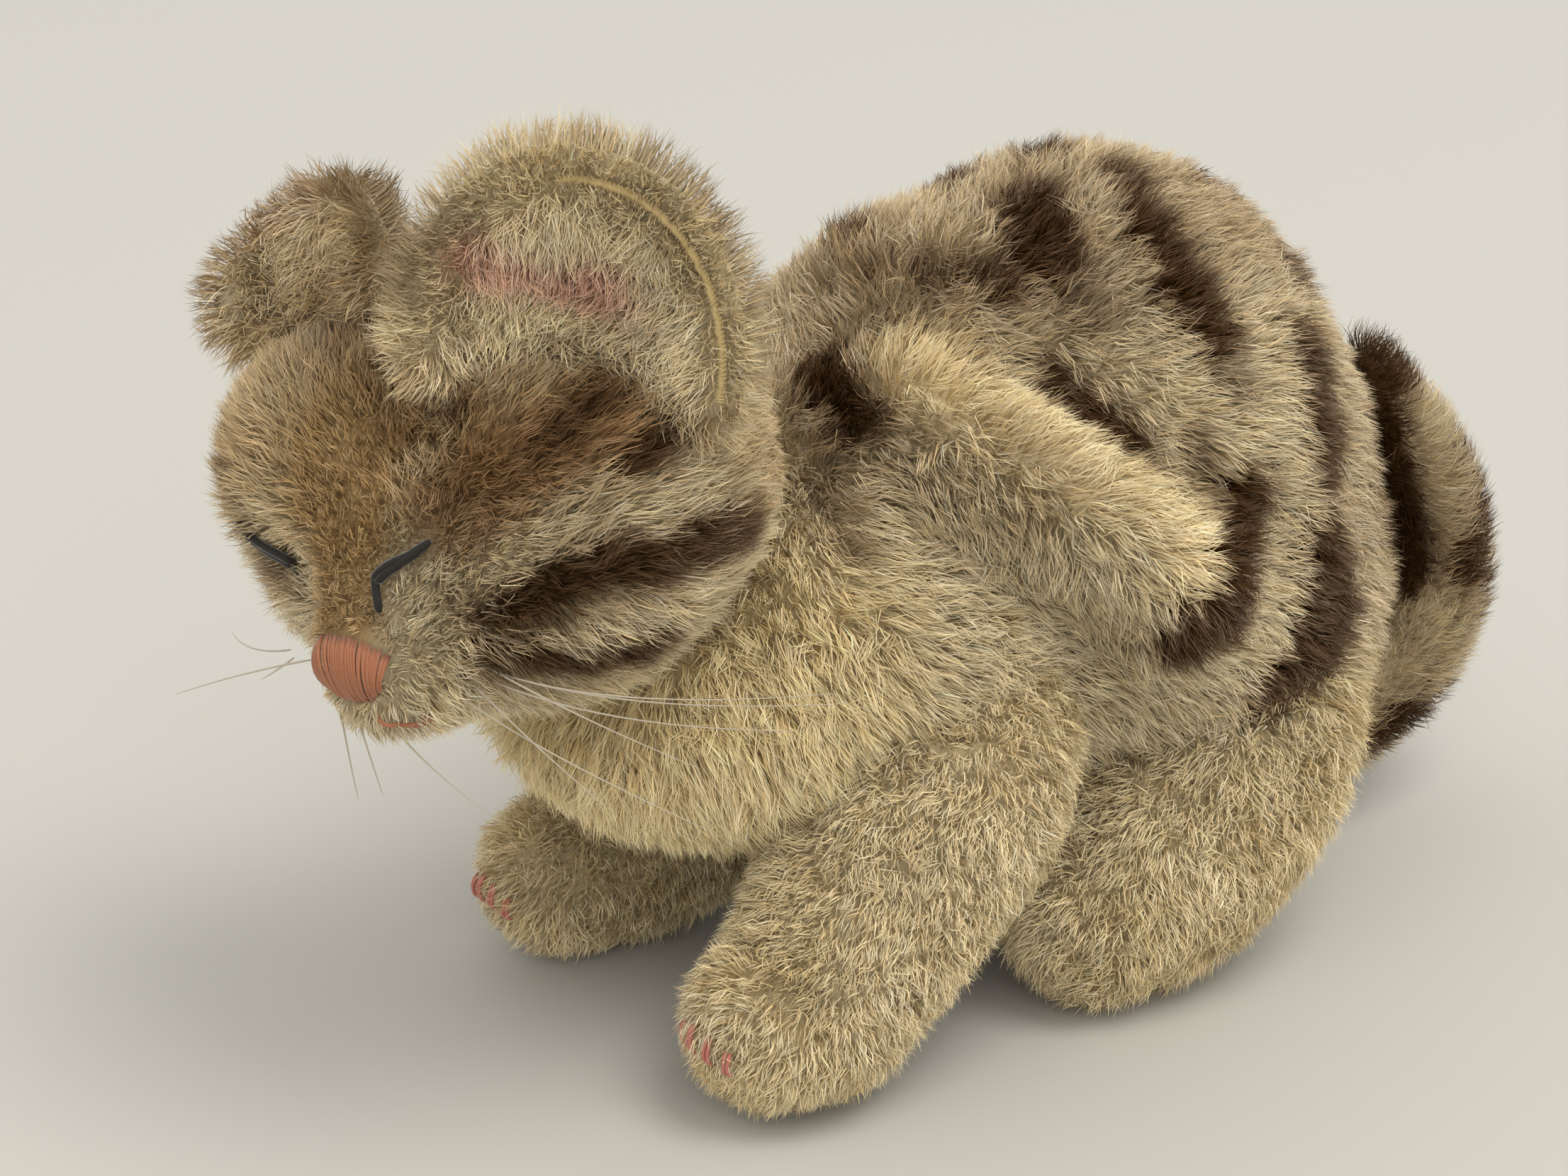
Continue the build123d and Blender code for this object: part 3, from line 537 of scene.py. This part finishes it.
pile_material, _ = attribute_material("mohair_pile", 0.38, 0.0, (0.62, 0.5, 0.33), 0.6)
cloth_material, cloth_shader = attribute_material("mohair_backing", 0.85, 0.2, (0.4, 0.32, 0.2), 0.2)
tree = cloth_material.node_tree
weave = tree.nodes.new("ShaderNodeTexWave")
weave.inputs["Scale"].default_value = 700
weave.inputs["Distortion"].default_value = 1.5
coords = tree.nodes.new("ShaderNodeTexCoord")
bump = tree.nodes.new("ShaderNodeBump")
bump.inputs["Strength"].default_value = 0.5
bump.inputs["Distance"].default_value = 0.0002
tree.links.new(coords.outputs["Object"], weave.inputs["Vector"])
tree.links.new(weave.outputs["Fac"], bump.inputs["Height"])
tree.links.new(bump.outputs["Normal"], cloth_shader.inputs["Normal"])


def thread_material(name, colour, rough=0.5):
    material, shader = principled(name, rough, 0.3, 0.4)
    shader.inputs["Base Color"].default_value = (*colour, 1)
    return material


pink_floss = thread_material("pink_floss", (0.33, 0.125, 0.062), 0.5)
claw_floss = thread_material("claw_floss", (0.50, 0.17, 0.13), 0.5)
black_thread = thread_material("black_thread", (0.010, 0.010, 0.011), 0.75)
seam_thread = thread_material("seam_thread", (0.55, 0.42, 0.20), 0.6)
filament = thread_material("whisker_filament", (0.46, 0.40, 0.30), 0.3)


# ---------------------------------------------------------------- meshes
def mesh_object(name, points, faces, material):
    mesh = bpy.data.meshes.new(name)
    mesh.from_pydata(metres(points).tolist(), [], faces)
    mesh.update()
    mesh.materials.append(material)
    mesh.polygons.foreach_set("use_smooth", np.ones(len(mesh.polygons), bool))
    obj = bpy.data.objects.new(name, mesh)
    scene.collection.objects.link(obj)
    return obj


def paint(mesh, colours):
    layer = mesh.attributes.new("pile", "FLOAT_COLOR", "POINT")
    data = np.ones((len(colours), 4), np.float32)
    data[:, :3] = colours
    layer.data.foreach_set("color", data.ravel())


def fast_mesh(name, points, quads, tris, material, colours, uvs):
    """Mesh of strands from arrays."""
    mesh = bpy.data.meshes.new(name)
    mesh.vertices.add(len(points))
    mesh.vertices.foreach_set("co", metres(points).astype(np.float32).ravel())
    corner = np.concatenate([quads.ravel(), tris.ravel()]).astype(np.int32)
    mesh.loops.add(len(corner))
    mesh.loops.foreach_set("vertex_index", corner)
    starts = np.concatenate([np.arange(len(quads)) * 4, len(quads) * 4 + np.arange(len(tris)) * 3])
    mesh.polygons.add(len(starts))
    mesh.polygons.foreach_set("loop_start", starts.astype(np.int32))
    mesh.polygons.foreach_set("use_smooth", np.ones(len(starts), bool))
    uv = mesh.uv_layers.new(name="OFBake")
    uv.data.foreach_set("uv", uvs[corner].astype(np.float32).ravel())
    mesh.update(calc_edges=True)
    mesh.materials.append(material)
    paint(mesh, colours)
    obj = bpy.data.objects.new(name, mesh)
    scene.collection.objects.link(obj)
    return obj


def skin_piece(name, skin, body, nodes, colour_of, shrink=0.4, shade=0.75):
    obj = mesh_object(name, skin.points - skin.normals * shrink, skin.faces, cloth_material)
    # painted shade: the backing cloth under the pile is drawn at the shade factor (0.75) of the pile colour
    paint(obj.data, colour_of(skin.points + skin.normals * 2.5) * shade)
    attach(obj, body)
    if nodes:
        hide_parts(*nodes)
    return obj


DENSITY = 9.0     # strands on a square millimetre
MOST = 64000           # strands in one piece
PRINT_REACH = 2.5      # height over the cloth at which a strand takes the colour of the stripes


def pile(name, skin, body, colour_of, length_of, comb, lean=0.75, width=0.115, density=1.0,
         hidden_in=(), keep=None, clump=0.5, fuzz=0.35, lock=10, dark_tip=None):
    """Strands standing on a skin: flat ribbons of two steps that taper to a point."""
    want = int(skin.area.sum() * DENSITY * density)
    pick = RNG.choice(len(skin.area), want, p=skin.area / skin.area.sum())
    u, v = RNG.random(want), RNG.random(want)
    flip = u + v > 1
    u[flip], v[flip] = 1 - u[flip], 1 - v[flip]
    tri = skin.tris[pick]
    w = np.stack([1 - u - v, u, v], 1)[:, :, None]
    root = (skin.points[tri] * w).sum(1)
    normal = unit((skin.normals[tri] * w).sum(1))
    ok = root[:, 2] > 0.4
    if keep is not None:
        ok &= keep(root)
    root, normal = root[ok], normal[ok]
    for other, margin in hidden_in:
        ok = ~other.inside(root, margin)
        root, normal = root[ok], normal[ok]
    count = len(root)
    length = length_of(root) * RNG.uniform(0.7, 1.15, count)
    flow = comb(root) + 1.1 * np.stack([noise(root, 6, k) - 0.5 for k in (31, 32, 33)], 1)
    flow = flow + RNG.normal(0, fuzz, (count, 3))
    flow = unit(flow - (flow * normal).sum(1)[:, None] * normal)
    tilt = lean * RNG.uniform(0.5, 1.3, count) * (0.65 + 0.7 * noise(root, 3.5, 34))
    d0 = unit(normal * np.cos(tilt * 0.6)[:, None] + flow * np.sin(tilt * 0.6)[:, None])
    d1 = unit(normal * np.cos(tilt * 1.35)[:, None] + flow * np.sin(tilt * 1.35)[:, None])
    mid = root + d0 * (length * 0.5)[:, None]
    tip = mid + d1 * (length * 0.5)[:, None]
    # locks: strands draw towards the tip of a nearby leading strand
    lead = RNG.choice(count, max(count // lock, 1), replace=False)
    nearest = kdtree.KDTree(len(lead))
    for i, k in enumerate(lead):
        nearest.insert(root[k], i)
    nearest.balance()
    owner = np.fromiter((lead[nearest.find(p)[1]] for p in root), int, count)
    pull = clump * RNG.uniform(0.3, 1.3, count)
    mid = mid + (mid[owner] - mid) * (0.3 * pull)[:, None]
    tip = tip + (tip[owner] - tip) * pull[:, None]
    mid = mid + RNG.normal(0, 0.06, (count, 3)) * length[:, None]
    tip[:, 2] = np.maximum(tip[:, 2], 0.15 + 0.5 * RNG.random(count))
    mid[:, 2] = np.maximum(mid[:, 2], 0.15 + 0.3 * RNG.random(count))
    run = unit(tip - root)
    side = unit(np.cross(run, normal) + 0.25 * RNG.normal(0, 1, (count, 3)))
    roll = RNG.normal(0, 0.6, count)
    up = np.cross(side, run)
    side = unit(side * np.cos(roll)[:, None] + up * np.sin(roll)[:, None])
    half = width * 0.5 * RNG.uniform(0.75, 1.45, count)[:, None]
    base = root - normal * 0.5
    points = np.stack([base - side * half, base + side * half, mid + side * half * 0.85,
                       mid - side * half * 0.85, tip], 1)
    colour = colour_of(root + normal * PRINT_REACH + RNG.normal(0, 0.4, (count, 3)))
    warm = RNG.normal(0, 0.045, count)
    tint = RNG.normal(1.0, 0.11, (count, 1)) * (0.88 + 0.24 * noise(root, 1.6, 36))[:, None]
    # painted highlights: one strand in twenty is drawn 1.3 times brighter, as glints on single fibres
    tint[RNG.random(count) < 0.05] *= 1.3
    colour = np.clip(colour * tint * np.stack([1 + warm, np.ones(count), 1 - warm * 1.6], 1), 0.004, 0.95)
    # painted highlight: each strand's tip is drawn 1.15 times brighter than the strand
    tip_colour = np.minimum(colour * 1.15 + 0.015, 0.97)
    if dark_tip is not None:
        tip_colour = mix(tip_colour, BROWN * 1.3, dark_tip(root))
        colour = mix(colour, BROWN * 2.5, 0.45 * dark_tip(root))
    # painted shade: the root half of each strand is drawn at 0.8 of its colour
    shade = np.stack([colour * 0.8, colour * 0.8, colour, colour, tip_colour], 1)
    # flat map of the strands for the texture, by where they stand
    low, high = skin.points.min(0), skin.points.max(0)
    flat = (root - low) / (high - low)
    uv = np.repeat((flat[:, 1:] * 0.98 + 0.01)[:, None, :], 5, axis=1)
    uv[:, :, 0] += np.array([-1, 1, 1, -1, 0]) * 0.0012
    uv[:, :, 1] += np.array([-1, -1, 0.3, 0.3, 1]) * 0.0015
    order = np.argsort(root[:, 1], kind="stable")
    share = math.ceil(count / MOST)
    for i, part in enumerate(np.array_split(order, share)):
        first = np.arange(len(part))[:, None] * 5
        label = name if share == 1 else f"{name}_{i + 1}"
        obj = fast_mesh(label, points[part].reshape(-1, 3), first + np.array([0, 1, 2, 3]),
                        first + np.array([3, 2, 4]), pile_material, shade[part].reshape(-1, 3),
                        uv[part].reshape(-1, 2))
        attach(obj, body)


# ---------------------------------------------------------------- skins
torso_nodes = ["torso_cover_left", "torso_cover_right", "belly_gusset", "torso_stuffing"]
head_nodes = ["head_cover_left", "head_cover_right", "head_gusset", "chin_gusset", "head_stuffing"]
skin_piece("torso_skin", torso, "torso", torso_nodes, body_colour)
skin_piece("head_skin", head, "head", head_nodes, head_colour)
skin_piece("left_front_leg_skin", left_foreleg, "left_front_leg",
           ["left_front_leg_outer", "left_front_leg_inner", "left_front_leg_stuffing"], leg_colour)
skin_piece("right_front_leg_skin", right_foreleg, "right_front_leg",
           ["right_front_leg_outer", "right_front_leg_inner", "right_front_leg_stuffing"], leg_colour)
skin_piece("left_hind_leg_skin", left_hindleg, "left_hind_leg",
           ["left_hind_leg_outer", "left_hind_leg_inner", "left_hind_leg_stuffing"], leg_colour)
skin_piece("right_hind_leg_skin", right_hindleg, "right_hind_leg",
           ["right_hind_leg_outer", "right_hind_leg_inner", "right_hind_leg_stuffing"], leg_colour)
skin_piece("tail_skin", tail, "tail", ["tail_cover", "tail_stuffing"], tail_colour)


def ear_cloth(name, skin, body, node, colour_of):
    obj = mesh_object(name, skin.points, skin.faces, cloth_material)
    # painted shade: the ear cloth under the pile is drawn at 0.75 of the pile colour
    paint(obj.data, colour_of(skin.points) * 0.75)
    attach(obj, body)
    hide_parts(node)


ear_cloth("left_ear_back_skin", left_ear_back, "left_ear", "left_ear_back", ear_back_colour(LEFT_EAR))
ear_cloth("left_ear_lining_skin", left_ear_lining, "left_ear", "left_ear_lining", ear_lining_colour(LEFT_EAR))
ear_cloth("right_ear_back_skin", right_ear_back, "right_ear", "right_ear_back", ear_back_colour(RIGHT_EAR))
ear_cloth("right_ear_lining_skin", right_ear_lining, "right_ear", "right_ear_lining",
          ear_lining_colour(RIGHT_EAR))


# ---------------------------------------------------------------- pile
def torso_comb(p):
    out = np.zeros_like(p)
    chest = smooth(26, 6, p[:, 1])
    out[:, 0] = np.sign(p[:, 0]) * 0.3
    out[:, 1] = 0.75 - 0.5 * chest
    out[:, 2] = -0.45 - 0.4 * chest + 0.35 * smooth(68, 86, p[:, 2])
    return out


def torso_length(p):
    return 4.2 + 1.2 * noise(p, 6, 41) + 1.0 * smooth(20, 0, p[:, 1])


def head_comb(p):
    q = to_head(p)
    out = np.stack([0.04 * q[:, 0], 0.8 * np.ones(len(q)), np.where(q[:, 2] < 0, -0.25, 0.1)], 1)
    return out @ HEAD_TURN.T


EYE_LINE = [(6.1, -23.8, 1.2), (5.4, -22.3, 4.3), (8, -20.4, 5.5), (11.3, -18.6, 6.9)]


def head_length(p):
    q = to_head(p)
    off = np.abs(q[:, 0] - 0.5)
    bridge = smooth(6.5, 3.0, off) * smooth(-7, -14, q[:, 1]) * smooth(-9, -6, q[:, 2])
    brow = smooth(13, 5, off) * smooth(2, -8, q[:, 1])
    nose = smooth(8.0, 5.5, np.linalg.norm(q - (1.5, -27, -4), axis=1))
    length = 4.4 - 3.1 * np.maximum(np.maximum(bridge, 0.5 * brow), nose) + 0.7 * noise(p, 4, 42)
    near_eye = stroke_distance(np.abs(q) * (1, 0, 0) + q * (0, 1, 1), EYE_LINE)
    return np.maximum(length * (0.4 + 0.6 * smooth(1.2, 3.2, near_eye)), 0.9)


def off_nose(p):
    q = to_head(p)
    return (q[:, 1] > -20) | (((q[:, 0] - 1.6) / 4.8) ** 2 + ((q[:, 2] + 3.6) / 3.6) ** 2 > 1)


def leg_comb(p):
    out = np.zeros_like(p)
    out[:, 1] = -0.35
    out[:, 2] = -0.55
    return out


def hind_comb(p):
    out = np.zeros_like(p)
    out[:, 1] = -0.5
    out[:, 2] = -0.5
    return out


def tail_comb(p):
    out = np.zeros_like(p)
    out[:, 1] = 0.3
    out[:, 2] = 0.8
    return out


def rim_share(ear, points):
    """0 at the middle of the ear and 1 at its rim."""
    q = ear_local(ear, points)
    up = (q[:, 2] - EAR_LOW) / np.where(q[:, 2] > EAR_LOW, ear["height"] - EAR_LOW, EAR_LOW + 3)
    return np.hypot(q[:, 0] / ear["half_width"], up)


def rim_comb(ear, strength=1.0):
    """Away from the middle of the ear."""
    def comb(p):
        q = ear_local(ear, p)
        out = np.stack([q[:, 0] * 0.06, np.zeros(len(q)), 0.2 + 0.05 * (q[:, 2] - 8)], 1) * strength
        return out @ ear["turn"].T @ HEAD_TURN.T
    return comb


def lining_comb(ear):
    """Down and across the hollow, and outwards at the rim."""
    def comb(p):
        q = ear_local(ear, p)
        inner = np.stack([-0.02 * q[:, 0], -0.2 * np.ones(len(q)), -0.15 - 0.03 * (q[:, 2] - 10)], 1) * 1.6
        outer = np.stack([q[:, 0] * 0.06, np.zeros(len(q)), 0.2 + 0.05 * (q[:, 2] - 8)], 1)
        out = mix(inner, outer, smooth(0.7, 0.9, rim_share(ear, p)))
        return out @ ear["turn"].T @ HEAD_TURN.T
    return comb


def off_seam(ear, points):
    """Leaves the seam on the outer side of the rim bare."""
    q = ear_local(ear, points)
    outer = (q[:, 0] > -4) & (q[:, 2] > 3)
    return ~(outer & (np.abs(rim_share(ear, points) - SEAM_SHARE) < SEAM_BARE))


legs = [left_foreleg, right_foreleg, left_hindleg, right_hindleg]
for label, test in (("left", lambda p: p[:, 0] >= 0), ("right", lambda p: p[:, 0] < 0)):
    pile(f"torso_pile_{label}", torso, "torso", body_colour, torso_length, torso_comb, keep=test,
         hidden_in=[(leg, 1.5) for leg in legs] + [(head, 2.0)], lean=0.72, clump=0.7, lock=15,
         width=0.15, density=1.0 if label == "left" else 0.75)
    pile(f"head_pile_{label}", head, "head", head_colour, head_length, head_comb,
         keep=lambda p, t=test: t(to_head(p)) & off_nose(p), hidden_in=[(torso, 2.0)], density=1.25,
         width=0.135, lean=0.75, clump=0.6, lock=13)
for label, leg, body, length, comb in (
        ("left_front_leg", left_foreleg, "left_front_leg", 3.5, leg_comb),
        ("right_front_leg", right_foreleg, "right_front_leg", 3.4, leg_comb),
        ("left_hind_leg", left_hindleg, "left_hind_leg", 4.2, hind_comb),
        ("right_hind_leg", right_hindleg, "right_hind_leg", 4.2, hind_comb)):
    pile(f"{label}_pile", leg, body, leg_colour, lambda p, n=length: n * (0.8 + 0.4 * noise(p, 5, 43)), comb,
         hidden_in=[(torso, 1.5)], width=0.145, lean=0.85, clump=0.55, fuzz=0.55, lock=12)
pile("tail_pile", tail, "tail", tail_colour, lambda p: np.full(len(p), 4.2), tail_comb,
     hidden_in=[(torso, 1.5)], lean=0.7)
for label, ear, back_skin, front_skin, pink in (("left", LEFT_EAR, left_ear_back, left_ear_lining, 1.0),
                                                ("right", RIGHT_EAR, right_ear_back, right_ear_lining, 0.25)):
    body = f"{label}_ear"

    def near_rim(p, e=ear, s=label):
        q = ear_local(e, p)
        if s == "right":
            top = 0.95 * smooth(4, 8, q[:, 2]) * smooth(0.5, 0.75, rim_share(e, p))
            return top * smooth(0.1, 0.3, noise(p, 3.0, 35))
        outer = smooth(-6, 6, q[:, 0]) * smooth(4, 12, q[:, 2])
        front = smooth(-12, -15.5, q[:, 0]) * smooth(6, 12, q[:, 2])
        dark = 0.8 * outer * smooth(0.72, 0.9, rim_share(e, p)) + 0.9 * front
        return dark * smooth(0.2, 0.5, noise(p, 3.0, 35))

    def lining_rim(p, e=ear, s=label):
        q = ear_local(e, p)
        if s == "right":
            return 0.9 * smooth(3, 7, q[:, 2]) * smooth(0.78, 0.9, rim_share(e, p))
        return 0.75 * smooth(-9, -13, q[:, 0]) * smooth(8, 13, q[:, 2]) * smooth(0.84, 0.93, rim_share(e, p))

    pile(f"{body}_back_pile", back_skin, body, ear_back_colour(ear), lambda p: np.full(len(p), 4.6),
         rim_comb(ear), lean=0.95, hidden_in=[(head, 1.0)], density=1.2, dark_tip=near_rim, clump=0.4)
    pile(f"{body}_lining_pile", front_skin, body, ear_lining_colour(ear, pink),
         lambda p: np.full(len(p), 4.0), lining_comb(ear), lean=0.75, hidden_in=[(head, 1.0)], density=1.4,
         dark_tip=lining_rim, width=0.14,
         keep=lambda p, e=ear, s=label: off_seam(e, p) if s == "left" else np.ones(len(p), bool), clump=0.5)

# ---------------------------------------------------------------- threads
def tube_mesh(lines, radius, sides=6, taper=0.0):
    """Round threads along lines of points, joined in one mesh."""
    points, faces = [], []
    for line in lines:
        line = np.asarray(line, float)
        tangent = unit(np.gradient(line, axis=0))
        side = unit(np.cross(tangent, unit((0.3, 0.2, 0.93))))
        up = np.cross(side, tangent)
        ang = np.linspace(0, 2 * math.pi, sides, endpoint=False)
        start = len(points)
        for i, (c, a, b) in enumerate(zip(line, side, up)):
            t = i / (len(line) - 1)
            r = radius * (1 - taper * t) * (0.55 if i in (0, len(line) - 1) else 1.0)
            points.extend(c + r * (np.cos(k) * a + np.sin(k) * b) for k in ang)
        for i in range(len(line) - 1):
            for j in range(sides):
                k = (j + 1) % sides
                faces.append((start + i * sides + j, start + i * sides + k,
                              start + (i + 1) * sides + k, start + (i + 1) * sides + j))
        faces.append(tuple(start + j for j in range(sides))[::-1])
        faces.append(tuple(start + (len(line) - 1) * sides + j for j in range(sides)))
    return np.array(points), faces


def on_skin(skin, points, lift):
    """Nearest places on a skin, lifted along its normal."""
    skin.inside(np.zeros((1, 3)))
    out = []
    for p in points:
        hit, normal, _, _ = skin.tree.find_nearest(Vector(p))
        out.append(np.array(hit) + np.array(normal) * lift)
    return np.array(out)


def threads(name, lines, radius, material, body, nodes, taper=0.0, sides=6):
    obj = mesh_object(name, *tube_mesh(lines, radius, sides, taper), material)
    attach(obj, body)
    if nodes:
        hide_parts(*nodes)
    return obj


def stitch(skin, a, b, lift=0.35, bulge=0.35, count=9):
    """One straight stitch over the cloth, its ends sunk in."""
    t = np.linspace(0, 1, count)
    line = on_skin(skin, np.asarray(a, float) + t[:, None] * (np.asarray(b, float) - a), lift)
    rise = np.sin(t * math.pi) ** 0.6
    centre = skin.points.mean(0)
    return line + unit(line - centre) * (rise * bulge - 0.5 * (1 - rise))[:, None]


# nose: long upright stitches side by side that draw together at the bottom
NOSE_STITCHES = 36
nose_lines = []
for i in range(NOSE_STITCHES):
    t = i / (NOSE_STITCHES - 1)
    s1 = 2 * t - 1
    top = (2.2 + 5.1 * s1, -26.5, -0.7 - 1.3 * s1 ** 2 - 0.7 * s1)
    low = (3.1 + 3.0 * s1, -28.0, -7.3 + 1.4 * s1 ** 2)
    jitter = RNG.normal(0, 0.12, 6)
    nose_lines.append(stitch(head, from_head(np.array(top) + jitter[:3]),
                             from_head(np.array(low) + jitter[3:]),
                             0.5, 0.5 + 0.12 * RNG.random()))
threads("nose_floss", nose_lines, 0.19, pink_floss, "head", ["nose_stitching"])
mouth_lines = [stitch(head, from_head(a), from_head(b), 1.3, 0.2) for a, b in (
    ((4.4, -27.2, -8.4), (5.8, -26.2, -9.4)), ((5.4, -26.2, -9.2), (8.0, -24.8, -9.8)),
    ((5.9, -26.0, -9.7), (8.6, -24.2, -10.4)))]
threads("mouth_floss", mouth_lines, 0.24, pink_floss, "head", ["mouth_stitching"])


def eye(spread):
    """Closed lid of two strands and the short drop at its inner end; spread is its way out to the side."""
    lines = (
        ([(5.3, -22.4, 4.2), (6.7, -21, 5.1), (9, -19.8, 5.9), (11.3, -18.6, 6.9)], 14, 1.7),
        ([(5.6, -22.2, 3.7), (7.2, -20.8, 4.7), (9.6, -19.4, 5.9), (11.2, -18.7, 6.9)], 14, 1.8),
        ([(5.5, -22.3, 4.4), (5.7, -23, 3), (6.1, -23.8, 1.2)], 9, 1.5))
    return [on_skin(head, from_head(spline(np.array(line) * spread, count)), lift)
            for line, count, lift in lines]


threads("left_eye_thread", eye((1, 1, 1)), 0.48, black_thread, "head",
        ["left_eye_stitching"])
threads("right_eye_thread", eye((-1.5, 0.93, 1)), 0.44, black_thread, "head",
        ["right_eye_stitching"])


def claws(skin, centre, places):
    lines = []
    for x, z in places:
        a = on_skin(skin, [(centre[0] + x, centre[1] - 12, centre[2] + z)], 1.1)[0]
        b = on_skin(skin, [(centre[0] + x * 1.12, centre[1] - 13, centre[2] + z - 4.2)], 0.9)[0]
        for k in (-0.25, 0.25):
            lines.append(stitch(skin, a + (k, 0, 0), b + (k, 0, 0), 1.9, 0.3))
    return lines


left_claws = claws(left_foreleg, (23.2, 1.8, 11.2), [(-5.2, 0.5), (-1.8, 1.4), (1.8, 1.4), (5.0, 0.4)])
threads("left_claw_floss", left_claws, 0.24, claw_floss, "left_front_leg", ["left_claw_stitching"])
right_claws = claws(right_foreleg, (-20.4, 1.0, 9.8), [(-4.6, 0.8), (-1.6, 2), (1.6, 2), (4.6, 0.8)])
threads("right_claw_floss", right_claws, 0.24, claw_floss, "right_front_leg", ["right_claw_stitching"])

# whiskers: root, way out and end, in the head frame
LEFT_WHISKERS = [
    ((14, -21, -6), (26, -20, -11), (47, -8, -14)), ((14, -20.5, -6.6), (27, -18, -12.5), (46, -6, -16.5)),
    ((13.5, -21.2, -7), (26, -20, -13), (43, -10, -17.5)), ((14, -21, -5.6), (25, -22, -10), (38, -20, -16)),
    ((13, -22, -7.4), (18, -22, -14), (24, -20, -23)), ((11, -23, -8), (18, -22, -15), (33, -16, -27)),
]
RIGHT_WHISKERS = [
    ((-4.5, -26, -4), (-13, -28, -5), (-25, -28, -9)), ((-2, -26.5, -8), (-3, -27, -14), (-5.5, -26, -21)),
    ((0, -26.5, -8.5), (0, -27, -14), (-1.5, -26, -20)), ((3, -26, -9), (5, -26, -15), (12, -24, -23)),
    ((-12, -22, -6), (-22, -20, -9), (-33, -12, -12)), ((-12, -22, -7), (-21, -20, -12), (-30, -13, -17)),
]


def whisker(row):
    a, b, c = (np.array(v, float) for v in row)
    t = np.linspace(0, 1, 15)[:, None]
    return from_head((1 - t) ** 2 * a + 2 * t * (1 - t) * b + t ** 2 * c)


threads("left_whisker_filaments", [whisker(r) for r in LEFT_WHISKERS], 0.13, filament, "head",
        ["left_whiskers"], taper=0.7, sides=5)
threads("right_whisker_filaments", [whisker(r) for r in RIGHT_WHISKERS], 0.13, filament, "head",
        ["right_whiskers"], taper=0.7, sides=5)


def ear_rim(ear, share, start, end, lift, count=60):
    """Line on the lining side along the rim, by angle."""
    ang = np.radians(np.linspace(start, end, count))
    c, s1 = np.cos(ang), np.sin(ang)
    x = ear["half_width"] * np.sign(c) * np.abs(c) ** 0.92 * share
    z = EAR_LOW + np.where(s1 > 0, s1 * (ear["height"] - EAR_LOW), s1 * (EAR_LOW + 3)) * share
    r = EAR_CUP - 2.4 * (1 - share ** 6) - lift
    y = np.sqrt(np.maximum(r * r - x * x - 0.6 * (z - 12) ** 2, 1)) - EAR_CUP
    return from_head(np.stack([x, y, z], 1) @ ear["turn"].T + ear["origin"])


# the bare seam inside the rim of the near ear: turned cloth edge with small over-and-over stitches
roll = ear_rim(LEFT_EAR, SEAM_SHARE, -6, 100, 0.9)
inner, outer = (ear_rim(LEFT_EAR, share, -6, 100, lift, 76) for share, lift in ((0.845, 1.2), (0.90, 1.1)))
over = [np.array([inner[i], (inner[i] + outer[i + 1]) / 2 + RNG.normal(0, 0.08, 3), outer[i + 1]])
        for i in range(75)]
threads("left_ear_seam", [roll + RNG.normal(0, 0.05, roll.shape)], 0.42, seam_thread, "left_ear", [])
threads("left_ear_seam_stitches", over, 0.13, seam_thread, "left_ear", [], sides=5)

# ---------------------------------------------------------------- floor, light, camera
floor_material, floor_shader = principled("pale_floor", 0.7, 0.0, 0.3)
floor_shader.inputs["Base Color"].default_value = (0.52, 0.505, 0.462, 1)
bpy.ops.mesh.primitive_plane_add(size=4.0, location=(0, 0, 0))
floor = bpy.context.object
floor.name = "floor"
floor.data.materials.append(floor_material)

world = bpy.data.worlds.new("studio")
scene.world = world
world.use_nodes = True
world.node_tree.nodes["Background"].inputs["Color"].default_value = (1.0, 0.995, 0.98, 1)
world.node_tree.nodes["Background"].inputs["Strength"].default_value = 0.90


def area_light(name, location, size, power, colour, aim=(0, 0, 0.04)):
    data = bpy.data.lights.new(name, "AREA")
    data.size = size
    data.energy = power
    data.color = colour
    obj = bpy.data.objects.new(name, data)
    obj.location = location
    obj.rotation_euler = (Vector(aim) - Vector(location)).to_track_quat("-Z", "Y").to_euler()
    scene.collection.objects.link(obj)


area_light("key_light", (1.0, 0.30, 2.15), 1.2, 27.0, (1.0, 0.98, 0.94))
area_light("front_light", (1.6, -0.9, 1.6), 1.2, 9.0, (1.0, 0.985, 0.96))

azimuth, elevation, distance = math.radians(55.0), math.radians(24.5), 487.5
target = np.array([0.0, 18.75, 48.75])
back = np.array([math.sin(azimuth) * math.cos(elevation), -math.cos(azimuth) * math.cos(elevation),
                 math.sin(elevation)])
camera_data = bpy.data.cameras.new("camera")
camera_data.lens = 101.6
camera_data.sensor_width = 36.0
camera_data.clip_start = 0.01
camera = bpy.data.objects.new("camera", camera_data)
camera.location = metres(target + back * distance)
camera.rotation_euler = Vector(-back).to_track_quat("-Z", "Y").to_euler()
scene.collection.objects.link(camera)
scene.camera = camera
scene.view_settings.view_transform = "Standard"
